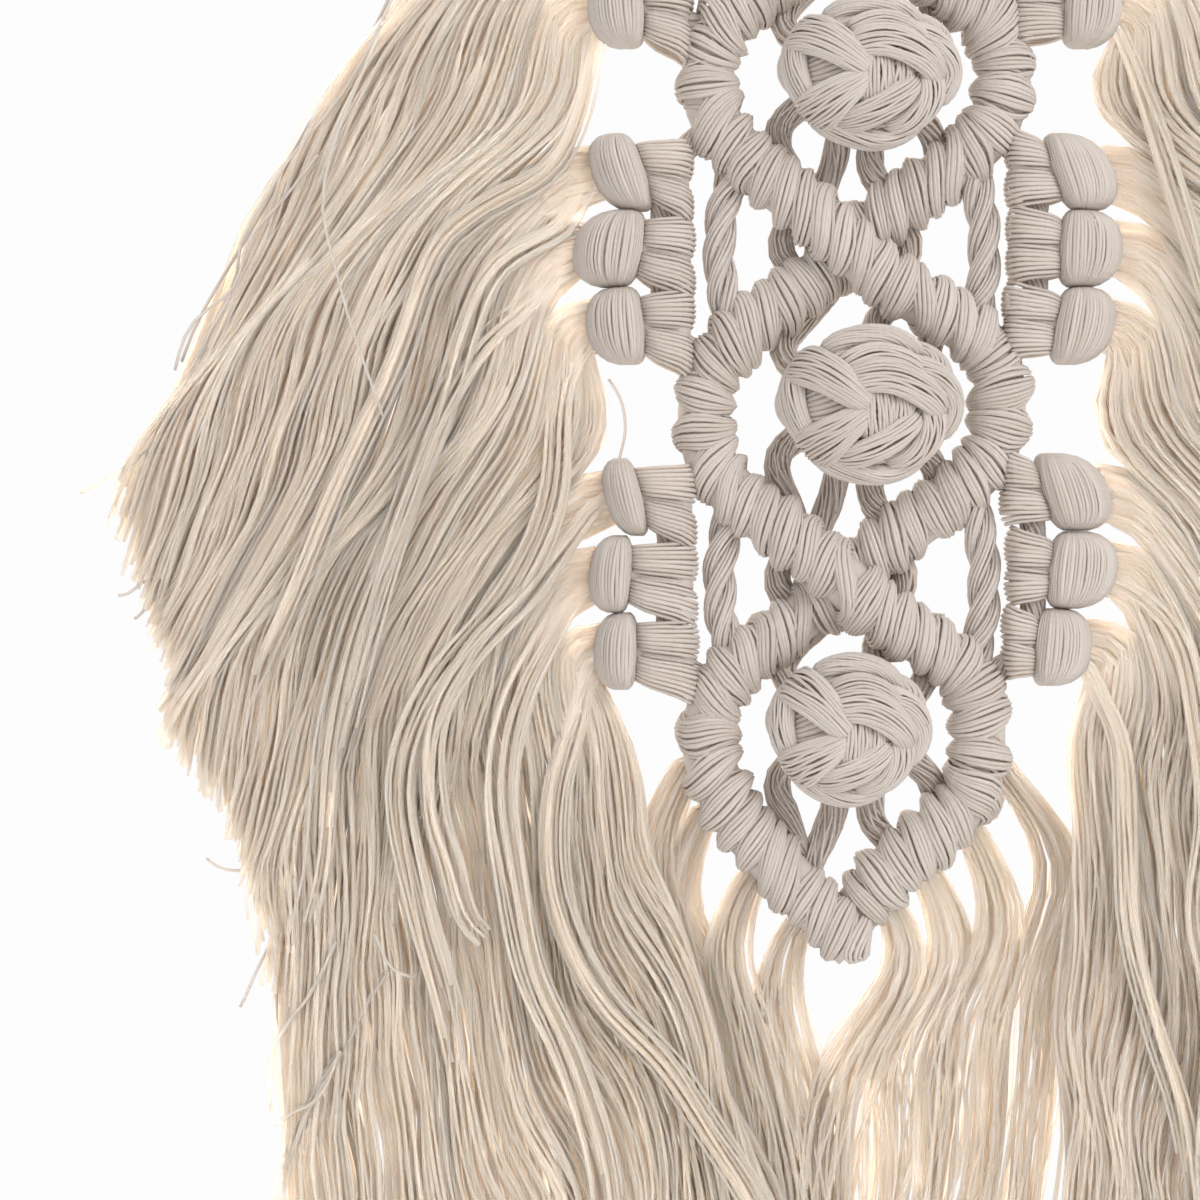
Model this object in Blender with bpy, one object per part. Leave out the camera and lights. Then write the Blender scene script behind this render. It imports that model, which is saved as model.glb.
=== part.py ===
"""A knotted cotton wall hanging: two wrapped cords braided into three rings, a round
popcorn knot in each ring, and fringe bundles looped on cords down both sides.

The part's origin is the middle of its top edge, +X is the viewer's right, -Y is the front
and +Z is up. The tables are in millimetres: x across, depth towards the wall, and drop
below the top edge. A reach is a distance outwards from the middle, on either side.
"""

import math
from collections import namedtuple

import bmesh
import bpy
from mathutils import Vector
from mathutils.geometry import interpolate_bezier

MM = 0.001
# The gap left between two bundles, or between a bundle and what it holds.
GAP = 0.3

# The wrapped bars: their radius over the wraps, the groove between two wraps, and the
# distance from one wrap to the next.
BAR_RADIUS = 6.7
BAR_GROOVE = 0.9
BAR_SIDES = 7
WRAP_PITCH = 5.6
WRAP_LEAN = math.radians(20)
BAR_CLEARANCE_RADIUS = 8.1

# Half the heading's length, and where the two cords leave it.
HEADING_HALF = 40.0
HEADING_ARM = 27.0

# Where the two cords cross: how far each stands off the middle there, and how steeply they
# run, so far down for so far aside.
OVER = 3.4
CROSSING_ASIDE = 7.0
CROSSING_FALL = 6.2
Crossing = namedtuple("Crossing", "x drop")
CROSSINGS = (
    Crossing(-2.4, 35.4),
    Crossing(-2.7, 101.6),
    Crossing(-3.7, 168.4),
)
# Where they meet under the last ring: each bends down there, and the left one ends in front.
End = namedtuple("End", "bend_x bend_drop x depth drop")
LEFT_END = End(-14.0, 228.3, -1.2, -1.8, 241.0)
RIGHT_END = End(6.1, 225.4, 0.8, 1.0, 232.0)

# The upright sides of the rings between the crossings.
Ring = namedtuple("Ring", "left_x left_top left_bottom right_x right_top right_bottom")
RINGS = (
    Ring(-31.1, 57.0, 79.0, 28.4, 56.0, 79.0),
    Ring(-31.8, 123.0, 148.0, 27.7, 121.0, 145.0),
    Ring(-30.9, 188.0, 212.0, 23.6, 187.0, 212.0),
)
# A ring's corners stand in from its sides by this share.
CORNER = 0.88

# The popcorn knots: the middle of each, and half its width, depth and height.
Berry = namedtuple("Berry", "x drop half_x half_y half_z")
BERRIES = (
    Berry(0.6, 67.6, 17.6, 12.0, 14.6),
    Berry(0.6, 133.4, 18.0, 12.0, 15.0),
    Berry(-3.6, 197.6, 15.8, 11.4, 14.4),
)
BERRY_DEPTH = -5.0
BERRY_STEPS = 18
BERRY_ROWS = 12
STRAND_RAISE = 2.4

# The strands that show on a popcorn knot's front, as shares of its half sizes.
Strand = namedtuple("Strand", "x0 z0 x1 z1 half")
STRANDS = (
    Strand(-0.50, 0.88, 0.60, 0.78, 0.24),
    Strand(-0.66, 0.62, -0.10, 0.08, 0.28),
    Strand(0.06, 0.18, 0.66, 0.08, 0.26),
    Strand(0.84, 0.40, 0.94, -0.30, 0.22),
    Strand(0.16, -0.16, 0.18, -0.44, 0.22),
    Strand(-0.72, -0.50, -0.20, -0.34, 0.28),
    Strand(-0.20, -0.84, 0.66, -0.52, 0.24),
    Strand(-0.94, 0.24, -0.94, -0.16, 0.22),
)

# The cords that hold a popcorn knot to the bars above and below it. Each starts in the
# knot, bows and ends behind a bar: x from the part's middle, and drops from the knot's.
Tie = namedtuple("Tie", "near_x near_drop bow_x bow_drop far_x far_drop")
TIES = (
    Tie(-10.0, -4.0, -15.6, -12.0, -9.0, -20.5),
    Tie(4.0, -8.0, 2.8, -16.5, 7.0, -22.0),
    Tie(-10.0, 4.0, -16.8, 10.5, -14.0, 20.5),
    Tie(-4.0, 8.0, -5.8, 17.5, -9.0, 25.0),
    Tie(2.0, 8.0, 2.2, 18.5, 7.0, 24.5),
)
TIE_RADIUS = 2.7
TIE_SIDES = 5
TIE_STEPS = 4
# How deep they start and hang.
TIE_ROOT_DEPTH = -2.0
TIE_DEPTH = 2.6

# The twisted cord at each side of a crossing: where it bows to, and how far.
TWIST_RADIUS = 3.4
TWIST_GROOVE = 0.75
TWIST_SIDES = 9
TWIST_STEPS = 7
TWIST_TURN = math.radians(46)
TWIST_HALF_LENGTH = 17.0
Bow = namedtuple("Bow", "side end middle")
BOWS = (Bow(-1, 25.4, 28.2), Bow(1, 22.2, 24.2))

# The plain cords the bundles are looped on.
SIDE_CORD_RADIUS = 2.7
SIDE_CORD_SIDES = 6
SIDE_CORD_STEPS = 6

# The fringe bundles, each folded and looped on its side cord. Their drop, where the side
# cord runs (from the middle outwards), and how far past it the folded loop stands.
HEAD_PITCH = 15.0
HEAD_SIDES = 8
Head = namedtuple("Head", "drop cord_reach out")
LEFT_HEADS = (
    (Head(23.5, 39.0, 16.0), Head(38.7, 39.4, 17.5), Head(54.0, 39.0, 15.5)),
    (Head(86.6, 38.8, 15.0), Head(101.8, 39.4, 18.0), Head(117.2, 38.8, 16.0)),
    (Head(151.4, 37.6, 13.5), Head(166.8, 38.2, 16.0), Head(182.2, 37.8, 15.5)),
)
RIGHT_HEADS = (
    (Head(23.5, 35.6, 16.0), Head(38.7, 36.0, 17.0), Head(54.0, 35.0, 16.5)),
    (Head(86.6, 34.0, 16.0), Head(101.8, 34.6, 17.0), Head(117.2, 33.6, 16.5)),
    (Head(150.4, 33.0, 16.1), Head(166.0, 34.2, 16.5), Head(181.4, 32.4, 13.2)),
)

# A head from its inner end outwards: place as a share of `out` past the cord (or of the
# wraps inside it), and half its height and depth.
Section = namedtuple("Section", "place half_z half_y")
HEAD_SECTIONS = (
    Section(-0.33, 6.0, 4.4),
    Section(-0.20, 7.6, 6.2),
    Section(0.22, 7.5, 6.2),
    Section(0.31, 6.8, 5.4),
    Section(0.42, 7.6, 7.2),
    Section(0.66, 7.7, 8.1),
    Section(0.86, 6.3, 7.0),
    Section(1.00, 4.4, 5.0),
)

# The fringe, as it falls: the line its outermost yarns follow, and its trimmed edge.
Fall = namedtuple("Fall", "drop outer trimmed")
FALLS = (
    Fall(16.0, 53.0, 200.0),
    Fall(30.0, 76.0, 200.0),
    Fall(52.0, 95.0, 200.0),
    Fall(81.0, 111.0, 200.0),
    Fall(111.0, 130.0, 200.0),
    Fall(148.0, 144.5, 145.5),
    Fall(166.0, 152.0, 144.5),
    Fall(182.0, 161.0, 139.5),
    Fall(212.0, 176.0, 129.0),
    Fall(232.0, 186.0, 119.5),
    Fall(252.0, 194.0, 115.0),
    Fall(320.0, 212.0, 118.0),
)
# Its inner edge on each side, where no head stands.
Row = namedtuple("Row", "drop reach")
Edge = namedtuple("Edge", "drop left right")
EDGES = (
    Edge(66.0, 53.0, 44.0),
    Edge(74.0, 53.5, 44.0),
    Edge(132.0, 49.5, 45.0),
    Edge(141.0, 50.0, 45.0),
    Edge(198.0, 46.0, 40.0),
    Edge(212.0, 44.5, 41.0),
    Edge(232.0, 40.0, 42.6),
    Edge(252.0, 33.0, 42.6),
    Edge(272.0, 25.0, 40.0),
    Edge(292.0, 17.0, 38.0),
    Edge(322.0, 9.0, 36.0),
)
# How far past a head the fringe of the heads above it hangs.
HEAD_MARGIN = 3.6
# A bundle's locks, from its top: the depth each hangs at.
LAYERS = (-3.6, 1.2, -1.2, 3.6)
LOCK_WIDTH = 7.4
LOCK_THICKNESS = 1.7
# The locks turn at these drops, but not within the nearest of their roots.
FIRST_STATION = 31.0
STATION_STEP = 31.9
NEAREST_STATION = 1.0
SHORTEST_RUN = 6.0
# The fringe's lower edge at the middle, and its rise for each millimetre outwards.
BOTTOM_DROP = 318.0
BOTTOM_RISE = 0.14
# How far the fringe's middle stands forward.
FULLNESS = 6.0

# The unwrapped cord ends under the last ring.
Tail = namedtuple("Tail", "x bow_x bow_drop turn_x turn_drop end_x end_drop")
TAILS = (
    Tail(-35.5, -42.0, 224.0, -38.0, 248.0, -31.0, 311.0),
    Tail(-28.0, -37.0, 233.0, -30.0, 252.0, -21.0, 314.0),
    Tail(-18.5, -26.5, 243.0, -22.4, 261.0, -13.5, 316.0),
    Tail(-9.0, -16.3, 252.0, -13.5, 269.0, -10.0, 318.0),
    Tail(2.5, 8.6, 246.0, -2.8, 269.0, -5.0, 318.0),
    Tail(9.5, 18.4, 244.0, 10.4, 265.0, 4.0, 317.0),
    Tail(19.0, 28.2, 237.0, 22.8, 259.0, 15.5, 315.0),
    Tail(28.0, 40.0, 226.0, 34.5, 252.0, 28.0, 312.0),
)
# Each end is three locks of yarn side by side, in one of two layers.
TAIL_LOCKS = 3
TAIL_SPACING = 2.75
TAIL_WIDTH = 2.4
TAIL_STEPS = 6
TAIL_LAYERS = (6.7, 8.9)
# The strip they are rooted in: how far it runs outside the bars' middle and behind them.
STRIP_OUT = 4.9
STRIP_DEPTH = 8.1
STRIP_VERTEX_DEPTH = 10.4
STRIP_RADIUS = 2.0
STRIP_START = 205.0
# It runs straight across between the two bars' bends.
STRIP_MIDDLE = -1.5
STRIP_HALF_GAP = 5.0
STRIP_STEPS = 12

KNOT_COLOUR = (0.62, 0.56, 0.49, 1.0)
FRINGE_COLOUR = (0.76, 0.69, 0.56, 1.0)


def at(x, depth, drop):
    """A point of the part, in metres."""
    return Vector((x, depth, -drop)) * MM


def between(rows, drop, column):
    """A table's value at a drop, straight from row to row."""
    if drop <= rows[0].drop:
        return getattr(rows[0], column)
    for above, below in zip(rows, rows[1:]):
        if drop <= below.drop:
            share = (drop - above.drop) / (below.drop - above.drop)
            first = getattr(above, column)
            return first + share * (getattr(below, column) - first)
    return getattr(rows[-1], column)


def evenly(points, count):
    """`count` points along a line of points, the same distance apart."""
    lengths = [0.0]
    for a, b in zip(points, points[1:]):
        lengths.append(lengths[-1] + (b - a).length)
    result = []
    k = 0
    for step in range(count):
        wanted = lengths[-1] * step / (count - 1)
        while k < len(points) - 2 and lengths[k + 1] < wanted:
            k += 1
        span = lengths[k + 1] - lengths[k]
        share = (wanted - lengths[k]) / span if span else 0.0
        result.append(points[k].lerp(points[k + 1], min(share, 1.0)))
    return result


def curve_through(points, count):
    """`count` evenly spaced points on a smooth curve through a few points."""
    before = [2 * points[0] - points[1]] + points[:-1]
    after = points[1:] + [2 * points[-1] - points[-2]]
    ways = [(b - a).normalized() for a, b in zip(before, after)]
    fine = [points[0]]
    for a, b, way_a, way_b in zip(points, points[1:], ways, ways[1:]):
        pull = (b - a).length / 3
        fine += interpolate_bezier(a, a + way_a * pull, b - way_b * pull, b, 13)[1:]
    return evenly(fine, count)


def length_of(points):
    """How long a line of points is."""
    return sum((b - a).length for a, b in zip(points, points[1:]))


def frames(points):
    """At each point: the way along the line, the way across it seen from the front, and
    the way to its back."""
    result = []
    last = len(points) - 1
    for k in range(last + 1):
        along = (points[min(k + 1, last)] - points[max(k - 1, 0)]).normalized()
        across = along.cross(Vector((0.0, 1.0, 0.0))).normalized()
        result.append((along, across, across.cross(along).normalized()))
    return result


def solid(name, rings):
    """A closed solid through rings of points, its ends capped."""
    bm = bmesh.new()
    loops = [[bm.verts.new(point) for point in ring] for ring in rings]
    for low, high in zip(loops, loops[1:]):
        for k in range(len(low)):
            after = (k + 1) % len(low)
            bm.faces.new((low[k], low[after], high[after], high[k]))
    bm.faces.new(reversed(loops[0]))
    bm.faces.new(loops[-1])
    bmesh.ops.triangulate(bm, faces=bm.faces)
    bmesh.ops.recalc_face_normals(bm, faces=bm.faces)
    mesh = bpy.data.meshes.new(name)
    bm.to_mesh(mesh)
    bm.free()
    obj = bpy.data.objects.new(name, mesh)
    bpy.context.scene.collection.objects.link(obj)
    return obj


def combine(base, others, operation):
    """One closed solid: `base` with `others` joined to it or cut from it. They go."""
    group = bpy.data.collections.new("operands")
    bpy.context.scene.collection.children.link(group)
    for other in others:
        group.objects.link(other)
    boolean = base.modifiers.new(operation, "BOOLEAN")
    boolean.operation = operation
    boolean.solver = "EXACT"
    boolean.operand_type = "COLLECTION"
    boolean.collection = group
    depsgraph = bpy.context.evaluated_depsgraph_get()
    mesh = bpy.data.meshes.new_from_object(base.evaluated_get(depsgraph))
    base.modifiers.clear()
    base.data = mesh
    bpy.data.collections.remove(group)
    return base


def remove(objects):
    """Takes objects out of the file."""
    for obj in objects:
        bpy.data.objects.remove(obj)


def material(name, colour):
    """A dull cotton of one colour."""
    result = bpy.data.materials.new(name)
    result.use_nodes = True
    shader = result.node_tree.nodes["Principled BSDF"]
    shader.inputs["Base Color"].default_value = colour
    shader.inputs["Roughness"].default_value = 0.9
    shader.inputs["Metallic"].default_value = 0.0
    return result


def finish(obj, name, cloth):
    """Names a node and its mesh, and gives it its material."""
    obj.name = name
    obj.data.name = name
    obj.data.materials.clear()
    obj.data.materials.append(cloth)
    return obj


# ---------------------------------------------------------------- the knotted body


def ring_side(ring, side):
    """Where a ring's left (-1) or right (1) side stands, and its upper and lower corners."""
    if side < 0:
        return ring.left_x, ring.left_top, ring.left_bottom
    return ring.right_x, ring.right_top, ring.right_bottom


def strand_route(side):
    """The middle line of a wrapped cord from the heading's left (-1) or right (1) arm to
    the lowest point. The one that falls to the right passes in front at a crossing."""
    points = [at(side * HEADING_ARM, 0.0, BAR_RADIUS + 1.0)]
    for crossing, ring in zip(CROSSINGS, RINGS):
        for share in (-1, 0, 1):
            aside = side * share * CROSSING_ASIDE
            depth = side * OVER * (1 - 0.2 * abs(share))
            points.append(at(crossing.x - aside, depth, crossing.drop + share * CROSSING_FALL))
        side = -side
        x, top, bottom = ring_side(ring, side)
        points.append(at(x * CORNER, 0.0, top))
        points.append(at(x, 0.0, (top + bottom) / 2))
        points.append(at(x * CORNER, 0.0, bottom))
    end = LEFT_END if side < 0 else RIGHT_END
    points.append(at(end.bend_x, 0.0, end.bend_drop))
    points.append(at(end.x, end.depth, end.drop))
    return points


def bar_route(side):
    """The strand's line with a point on every wrap and every groove."""
    points = strand_route(side)
    return curve_through(points, 1 + 2 * round(length_of(points) / MM / WRAP_PITCH))


def tube_ring(point, frame, radius, sides, lean=0.0, turn=0.0):
    """A ring of points about a line. A lean pushes it along the line, as it goes across."""
    along, across, back = frame
    ring = []
    for k in range(sides):
        angle = turn + 2 * math.pi * k / sides
        size = radius(angle) if callable(radius) else radius
        c = size * math.cos(angle) * MM
        s = size * math.sin(angle) * MM
        ring.append(point + across * c + back * s + along * c * lean)
    return ring


def wrapped_bar(name, points):
    """A bar of cord wraps: a ridge for each wrap, leaning towards the upright."""
    rings = []
    last = len(points) - 1
    for k, (point, frame) in enumerate(zip(points, frames(points))):
        along, across, _ = frame
        lean = 2 * math.tan(WRAP_LEAN) * across.z * along.z
        radius = BAR_RADIUS if k % 2 else BAR_RADIUS - BAR_GROOVE
        if k in (0, last):
            radius = BAR_RADIUS * 0.7
        rings.append(tube_ring(point, frame, radius, BAR_SIDES, lean))
    return solid(name, rings)


def heading():
    """The level bar that ties the cords' upper ends, with its top edge at the origin."""
    ends = [at(-HEADING_HALF, 0.0, BAR_RADIUS), at(HEADING_HALF, 0.0, BAR_RADIUS)]
    return wrapped_bar("heading", evenly(ends, 1 + 2 * round(2 * HEADING_HALF / WRAP_PITCH)))


def relief(x, z):
    """How far the strands of a popcorn knot stand out at a place on its front."""
    most = 0.0
    for strand in STRANDS:
        a = Vector((strand.x0, strand.z0))
        way = Vector((strand.x1, strand.z1)) - a
        share = (Vector((x, z)) - a).dot(way) / way.length_squared
        away = (Vector((x, z)) - a - way * min(max(share, 0.0), 1.0)).length
        most = max(most, 1.0 - (away / strand.half) ** 2)
    return most


def popcorn_knot(berry):
    """A rolled braid: a ball with its strands raised on the front."""
    middle = at(berry.x, BERRY_DEPTH, berry.drop)
    sizes = (berry.half_x, berry.half_y, berry.half_z)
    rings = []
    for row in range(BERRY_ROWS + 1):
        polar = math.pi * (0.06 + 0.88 * row / BERRY_ROWS)
        ring = []
        for step in range(BERRY_STEPS):
            angle = 2 * math.pi * step / BERRY_STEPS
            x = -math.cos(polar)
            y = math.sin(polar) * math.cos(angle)
            z = math.sin(polar) * math.sin(angle)
            front = min(max(0.6 - 1.4 * y, 0.0), 1.0)
            raised = STRAND_RAISE * front * relief(x, z)
            way = (x, y, z)
            ring.append(middle + Vector([(a + raised) * b * MM for a, b in zip(sizes, way)]))
        rings.append(ring)
    return solid("popcorn_knot", rings)


def plain_cord(name, points, radius, sides):
    """A round cord of one thickness."""
    rings = [
        tube_ring(point, frame, radius, sides) for point, frame in zip(points, frames(points))
    ]
    return solid(name, rings)


def ties(berry):
    """The cords behind a popcorn knot that run to the bars above and below it."""
    for tie in TIES:
        near = at(tie.near_x, TIE_ROOT_DEPTH, berry.drop + tie.near_drop)
        bow = at(tie.bow_x, TIE_DEPTH, berry.drop + tie.bow_drop)
        far = at(tie.far_x, TIE_DEPTH, berry.drop + tie.far_drop)
        points = curve_through([near, bow, far], TIE_STEPS)
        yield plain_cord("tie", points, TIE_RADIUS, TIE_SIDES)


def twisted_cord(crossing, bow):
    """A cord of three twisted strands that bows out beside a crossing."""
    places = ((bow.end, -1.0), (bow.middle, -0.3), (bow.middle, 0.4), (bow.end, 1.0))
    route = [
        at(bow.side * reach, 0.0, crossing.drop + share * TWIST_HALF_LENGTH)
        for reach, share in places
    ]
    points = curve_through(route, TWIST_STEPS + 1)

    def three_strands(angle):
        return TWIST_RADIUS - TWIST_GROOVE * (1 - abs(math.cos(1.5 * angle)) ** 0.8)

    rings = []
    for k, (point, frame) in enumerate(zip(points, frames(points))):
        along, across, back = frame
        turn = k * TWIST_TURN
        turned = across * math.cos(turn) + back * math.sin(turn)
        rings.append(
            tube_ring(point, (along, turned, turned.cross(along)), three_strands, TWIST_SIDES)
        )
    return solid("twisted_cord", rings)


def side_cord_route(side, level, heads):
    """A side cord from the bar above its three heads to the bar below them."""
    start = HEADING_HALF - 4.0 if level == 0 else abs(ring_side(RINGS[level - 1], side)[0])
    start_drop = BAR_RADIUS if level == 0 else ring_side(RINGS[level - 1], side)[2]
    end, end_drop, _ = ring_side(RINGS[level], side)
    points = [at(side * start, 0.0, start_drop - 1.0)]
    points += [at(side * head.cord_reach, 0.0, head.drop) for head in heads]
    points.append(at(side * abs(end), 0.0, end_drop + 1.0))
    return curve_through(points, SIDE_CORD_STEPS)


def sides_and_levels():
    """Each side's heads, three to a ring."""
    for side, levels in ((-1, LEFT_HEADS), (1, RIGHT_HEADS)):
        for level, heads in enumerate(levels):
            yield side, level, heads


def knotted_body(cloth):
    """The bars, popcorn knots, ties, twisted cords and side cords, knotted into one."""
    body = wrapped_bar("knotted_body", bar_route(-1))
    others = [wrapped_bar("bar", bar_route(1)), heading()]
    for berry in BERRIES:
        others.append(popcorn_knot(berry))
        others += ties(berry)
    for crossing in CROSSINGS:
        others += [twisted_cord(crossing, bow) for bow in BOWS]
    for side, level, heads in sides_and_levels():
        route = side_cord_route(side, level, heads)
        others.append(plain_cord("side_cord", route, SIDE_CORD_RADIUS, SIDE_CORD_SIDES))
    combine(body, others, "UNION")
    remove(others)
    return finish(body, "knotted_body", cloth)


# ---------------------------------------------------------------- the fringe bundles


def lanes_above(heads, drop):
    """How many locks of a side have left their heads by a drop."""
    count = 0.0
    for head in heads:
        share = (drop - head.drop) / HEAD_PITCH + 0.5
        count += len(LAYERS) * min(max(share, 0.0), 1.0)
    return count


def inner_edge(heads, side):
    """The rows of a side's inner edge: past the heads, and by the table between them."""
    rows = [Row(head.drop, head.cord_reach + head.out + HEAD_MARGIN) for head in heads]
    rows += [Row(edge.drop, edge.left if side < 0 else edge.right) for edge in EDGES]
    return sorted(rows)


def lane_reach(heads, edge, lane, drop):
    """How far out a lane of the fringe hangs at a drop."""
    share = lane / max(lanes_above(heads, drop), lane)
    inner = between(edge, drop, "reach")
    outer = max(between(FALLS, drop, "outer"), inner + 1.0)
    return outer + (inner - outer) * share


def belly(reach, drop):
    """How far the fringe stands forward of the wall side at a place."""
    across = min(max((reach - 56.0) / 96.0, 0.0), 1.0)
    down = min(max(drop / BOTTOM_DROP, 0.0), 1.0)
    return -FULLNESS * math.sin(math.pi * across) * math.sin(math.pi * down)


def lock(name, points, width):
    """A flat three-sided lock of yarns, narrow at its root."""
    rings = []
    last = len(points) - 1
    for k, (point, frame) in enumerate(zip(points, frames(points))):
        along, across, back = frame
        wide = width * (0.36, 0.8)[k] if k < 2 else width * (0.66 if k == last else 1.0)
        flat = across * wide / 2 * MM
        thick = back * LOCK_THICKNESS / 2 * MM
        ring = [point - flat + thick, point + flat + thick, point - thick]
        for corner in ring:
            corner.y += belly(abs(corner.x) / MM, -corner.z / MM) * MM
        rings.append(ring)
    return solid(name, rings)


def lane_end(heads, edge, lane, start):
    """The drop where a lane meets the trimmed edge or the fringe's lower end."""
    drop = start + 20.0
    while True:
        reach = lane_reach(heads, edge, lane, drop)
        if reach > between(FALLS, drop, "trimmed"):
            return drop
        if drop > BOTTOM_DROP - BOTTOM_RISE * reach + 4.0 * math.sin(lane * 2.4):
            return drop
        drop += 1.0


def lane_points(heads, side, number, index):
    """A lock's middle line: from inside its head, out, and down the flow of the fringe.
    Every lock turns at the same drops, so that they lie beside each other all the way."""
    head = heads[number]
    lane = len(LAYERS) * number + index + 0.5
    edge = inner_edge(heads, side)
    start = head.drop + HEAD_PITCH * ((index + 0.5) / len(LAYERS) - 0.5)
    end = lane_end(heads, edge, lane, start)
    turns = [(start, lane_reach(heads, edge, lane, start))]
    drop = FIRST_STATION
    while turns[-1][0] < end:
        if drop > start + NEAREST_STATION:
            turns.append((drop, lane_reach(heads, edge, lane, drop)))
        drop += STATION_STEP
    if end - turns[-2][0] < SHORTEST_RUN and len(turns) > 2:
        turns.pop(-2)
    (above, far_above), (below, far_below) = turns[-2:]
    share = (end - above) / (below - above)
    turns[-1] = (end, far_above + share * (far_below - far_above))
    root_drop = head.drop + 0.42 * (start - head.drop)
    root_reach = head.cord_reach + head.out
    layer = LAYERS[index]
    points = [
        at(side * (root_reach - 3.0), layer * 0.92, root_drop),
        at(side * (root_reach + 0.4), layer * 0.96, root_drop),
    ]
    for drop, reach in turns[1:]:
        points.append(at(side * reach, layer, drop))
    return points


def head_solid(name, side, head):
    """A bundle's folded loop and the wraps that hold it on its cord."""
    rings = []
    for section in HEAD_SECTIONS:
        reach = head.cord_reach + section.place * head.out
        ring = []
        for step in range(HEAD_SIDES):
            angle = 2 * math.pi * (step + 0.5) / HEAD_SIDES
            c, s = math.cos(angle), math.sin(angle)
            y = math.copysign(abs(c) ** 0.75, c) * section.half_y
            z = math.copysign(abs(s) ** 0.75, s) * section.half_z
            ring.append(at(side * reach, y, head.drop + z))
        rings.append(ring)
    return solid(name, rings)


def fringe_bundles(cloth):
    """The eighteen looped bundles, each bored for its side cord and clear of the bars."""
    bars = [
        plain_cord("clear_of_bar", curve_through(strand_route(s), 90), BAR_CLEARANCE_RADIUS, 8)
        for s in (-1, 1)
    ]
    for side, levels, word in ((-1, LEFT_HEADS, "left"), (1, RIGHT_HEADS, "right")):
        heads = [head for level in levels for head in level]
        for level, few in enumerate(levels):
            route = side_cord_route(side, level, few)
            bore_radius = SIDE_CORD_RADIUS + GAP / math.cos(math.pi / SIDE_CORD_SIDES) + 0.05
            bore = plain_cord("bore", route, bore_radius, SIDE_CORD_SIDES)
            for head in few:
                number = heads.index(head)
                name = f"fringe_{word}_{number + 1}"
                bundle = head_solid(name, side, head)
                combine(bundle, [bore] + bars, "DIFFERENCE")
                locks = []
                for index in range(len(LAYERS)):
                    points = lane_points(heads, side, number, index)
                    locks.append(lock("lock", points, LOCK_WIDTH))
                combine(bundle, locks, "UNION")
                remove(locks)
                finish(bundle, name, cloth)
            remove([bore])
    remove(bars)


# ---------------------------------------------------------------- the lower fringe


def strip_route():
    """A line behind and just under the two lowest bars, from left to right."""
    halves = []
    for side in (-1, 1):
        points = curve_through(strand_route(side), 120)
        low = []
        for point, (_, across, _) in zip(points, frames(points)):
            middle = abs(point.x / MM - STRIP_MIDDLE)
            if point.z > -STRIP_START * MM or middle < STRIP_HALF_GAP:
                continue
            down = -math.copysign(STRIP_OUT, across.z) * MM
            near = max(1.0 - (middle - STRIP_HALF_GAP) / 12.0, 0.0)
            depth = STRIP_DEPTH + near * (STRIP_VERTEX_DEPTH - STRIP_DEPTH)
            low.append(Vector((point.x + across.x * down, depth * MM, point.z + across.z * down)))
        halves.append(low)
    left, right = sorted(halves, key=lambda half: half[0].x)
    return evenly(left + right[::-1], STRIP_STEPS)


def on_strip(strip, x):
    """The point of the strip's line at a place across it."""
    for a, b in zip(strip, strip[1:]):
        if a.x <= x * MM <= b.x:
            return a.lerp(b, (x * MM - a.x) / (b.x - a.x))
    return strip[0] if x * MM < strip[0].x else strip[-1]


def lower_fringe(cloth):
    """The unwrapped cord ends, rooted in a narrow strip under the last bars."""
    strip_line = strip_route()
    strip = plain_cord("fringe_bottom", strip_line, STRIP_RADIUS, 6)
    locks = []
    for number, tail in enumerate(TAILS):
        depth = TAIL_LAYERS[number % 2]
        for index in range(TAIL_LOCKS):
            aside = TAIL_SPACING * (index - (TAIL_LOCKS - 1) / 2)
            ragged = 2.0 * math.sin(number + 2.0 * index)
            route = [
                on_strip(strip_line, tail.x + aside),
                at(tail.bow_x + aside, depth, tail.bow_drop),
                at(tail.turn_x + aside, depth, tail.turn_drop),
                at(tail.end_x + aside, depth, tail.end_drop + ragged),
            ]
            locks.append(lock("lock", curve_through(route, TAIL_STEPS), TAIL_WIDTH))
    combine(strip, locks, "UNION")
    remove(locks)
    return finish(strip, "fringe_bottom", cloth)


def main():
    for obj in list(bpy.data.objects):
        bpy.data.objects.remove(obj)
    knots = material("knotted_cord", KNOT_COLOUR)
    fringe = material("fringe_yarn", FRINGE_COLOUR)
    knotted_body(knots)
    fringe_bundles(fringe)
    lower_fringe(fringe)


main()
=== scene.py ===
"""The looks of a knotted cotton wall hanging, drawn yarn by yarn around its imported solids.

Places and sizes are in millimetres in the part's own frame: +X is the viewer's right, -Y is
the front and +Z is up, from the middle of the top edge. A drop is a distance below that edge
and a reach a distance outwards from the middle, on either side. Meshes are made in metres.
"""

import math
from collections import namedtuple

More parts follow.
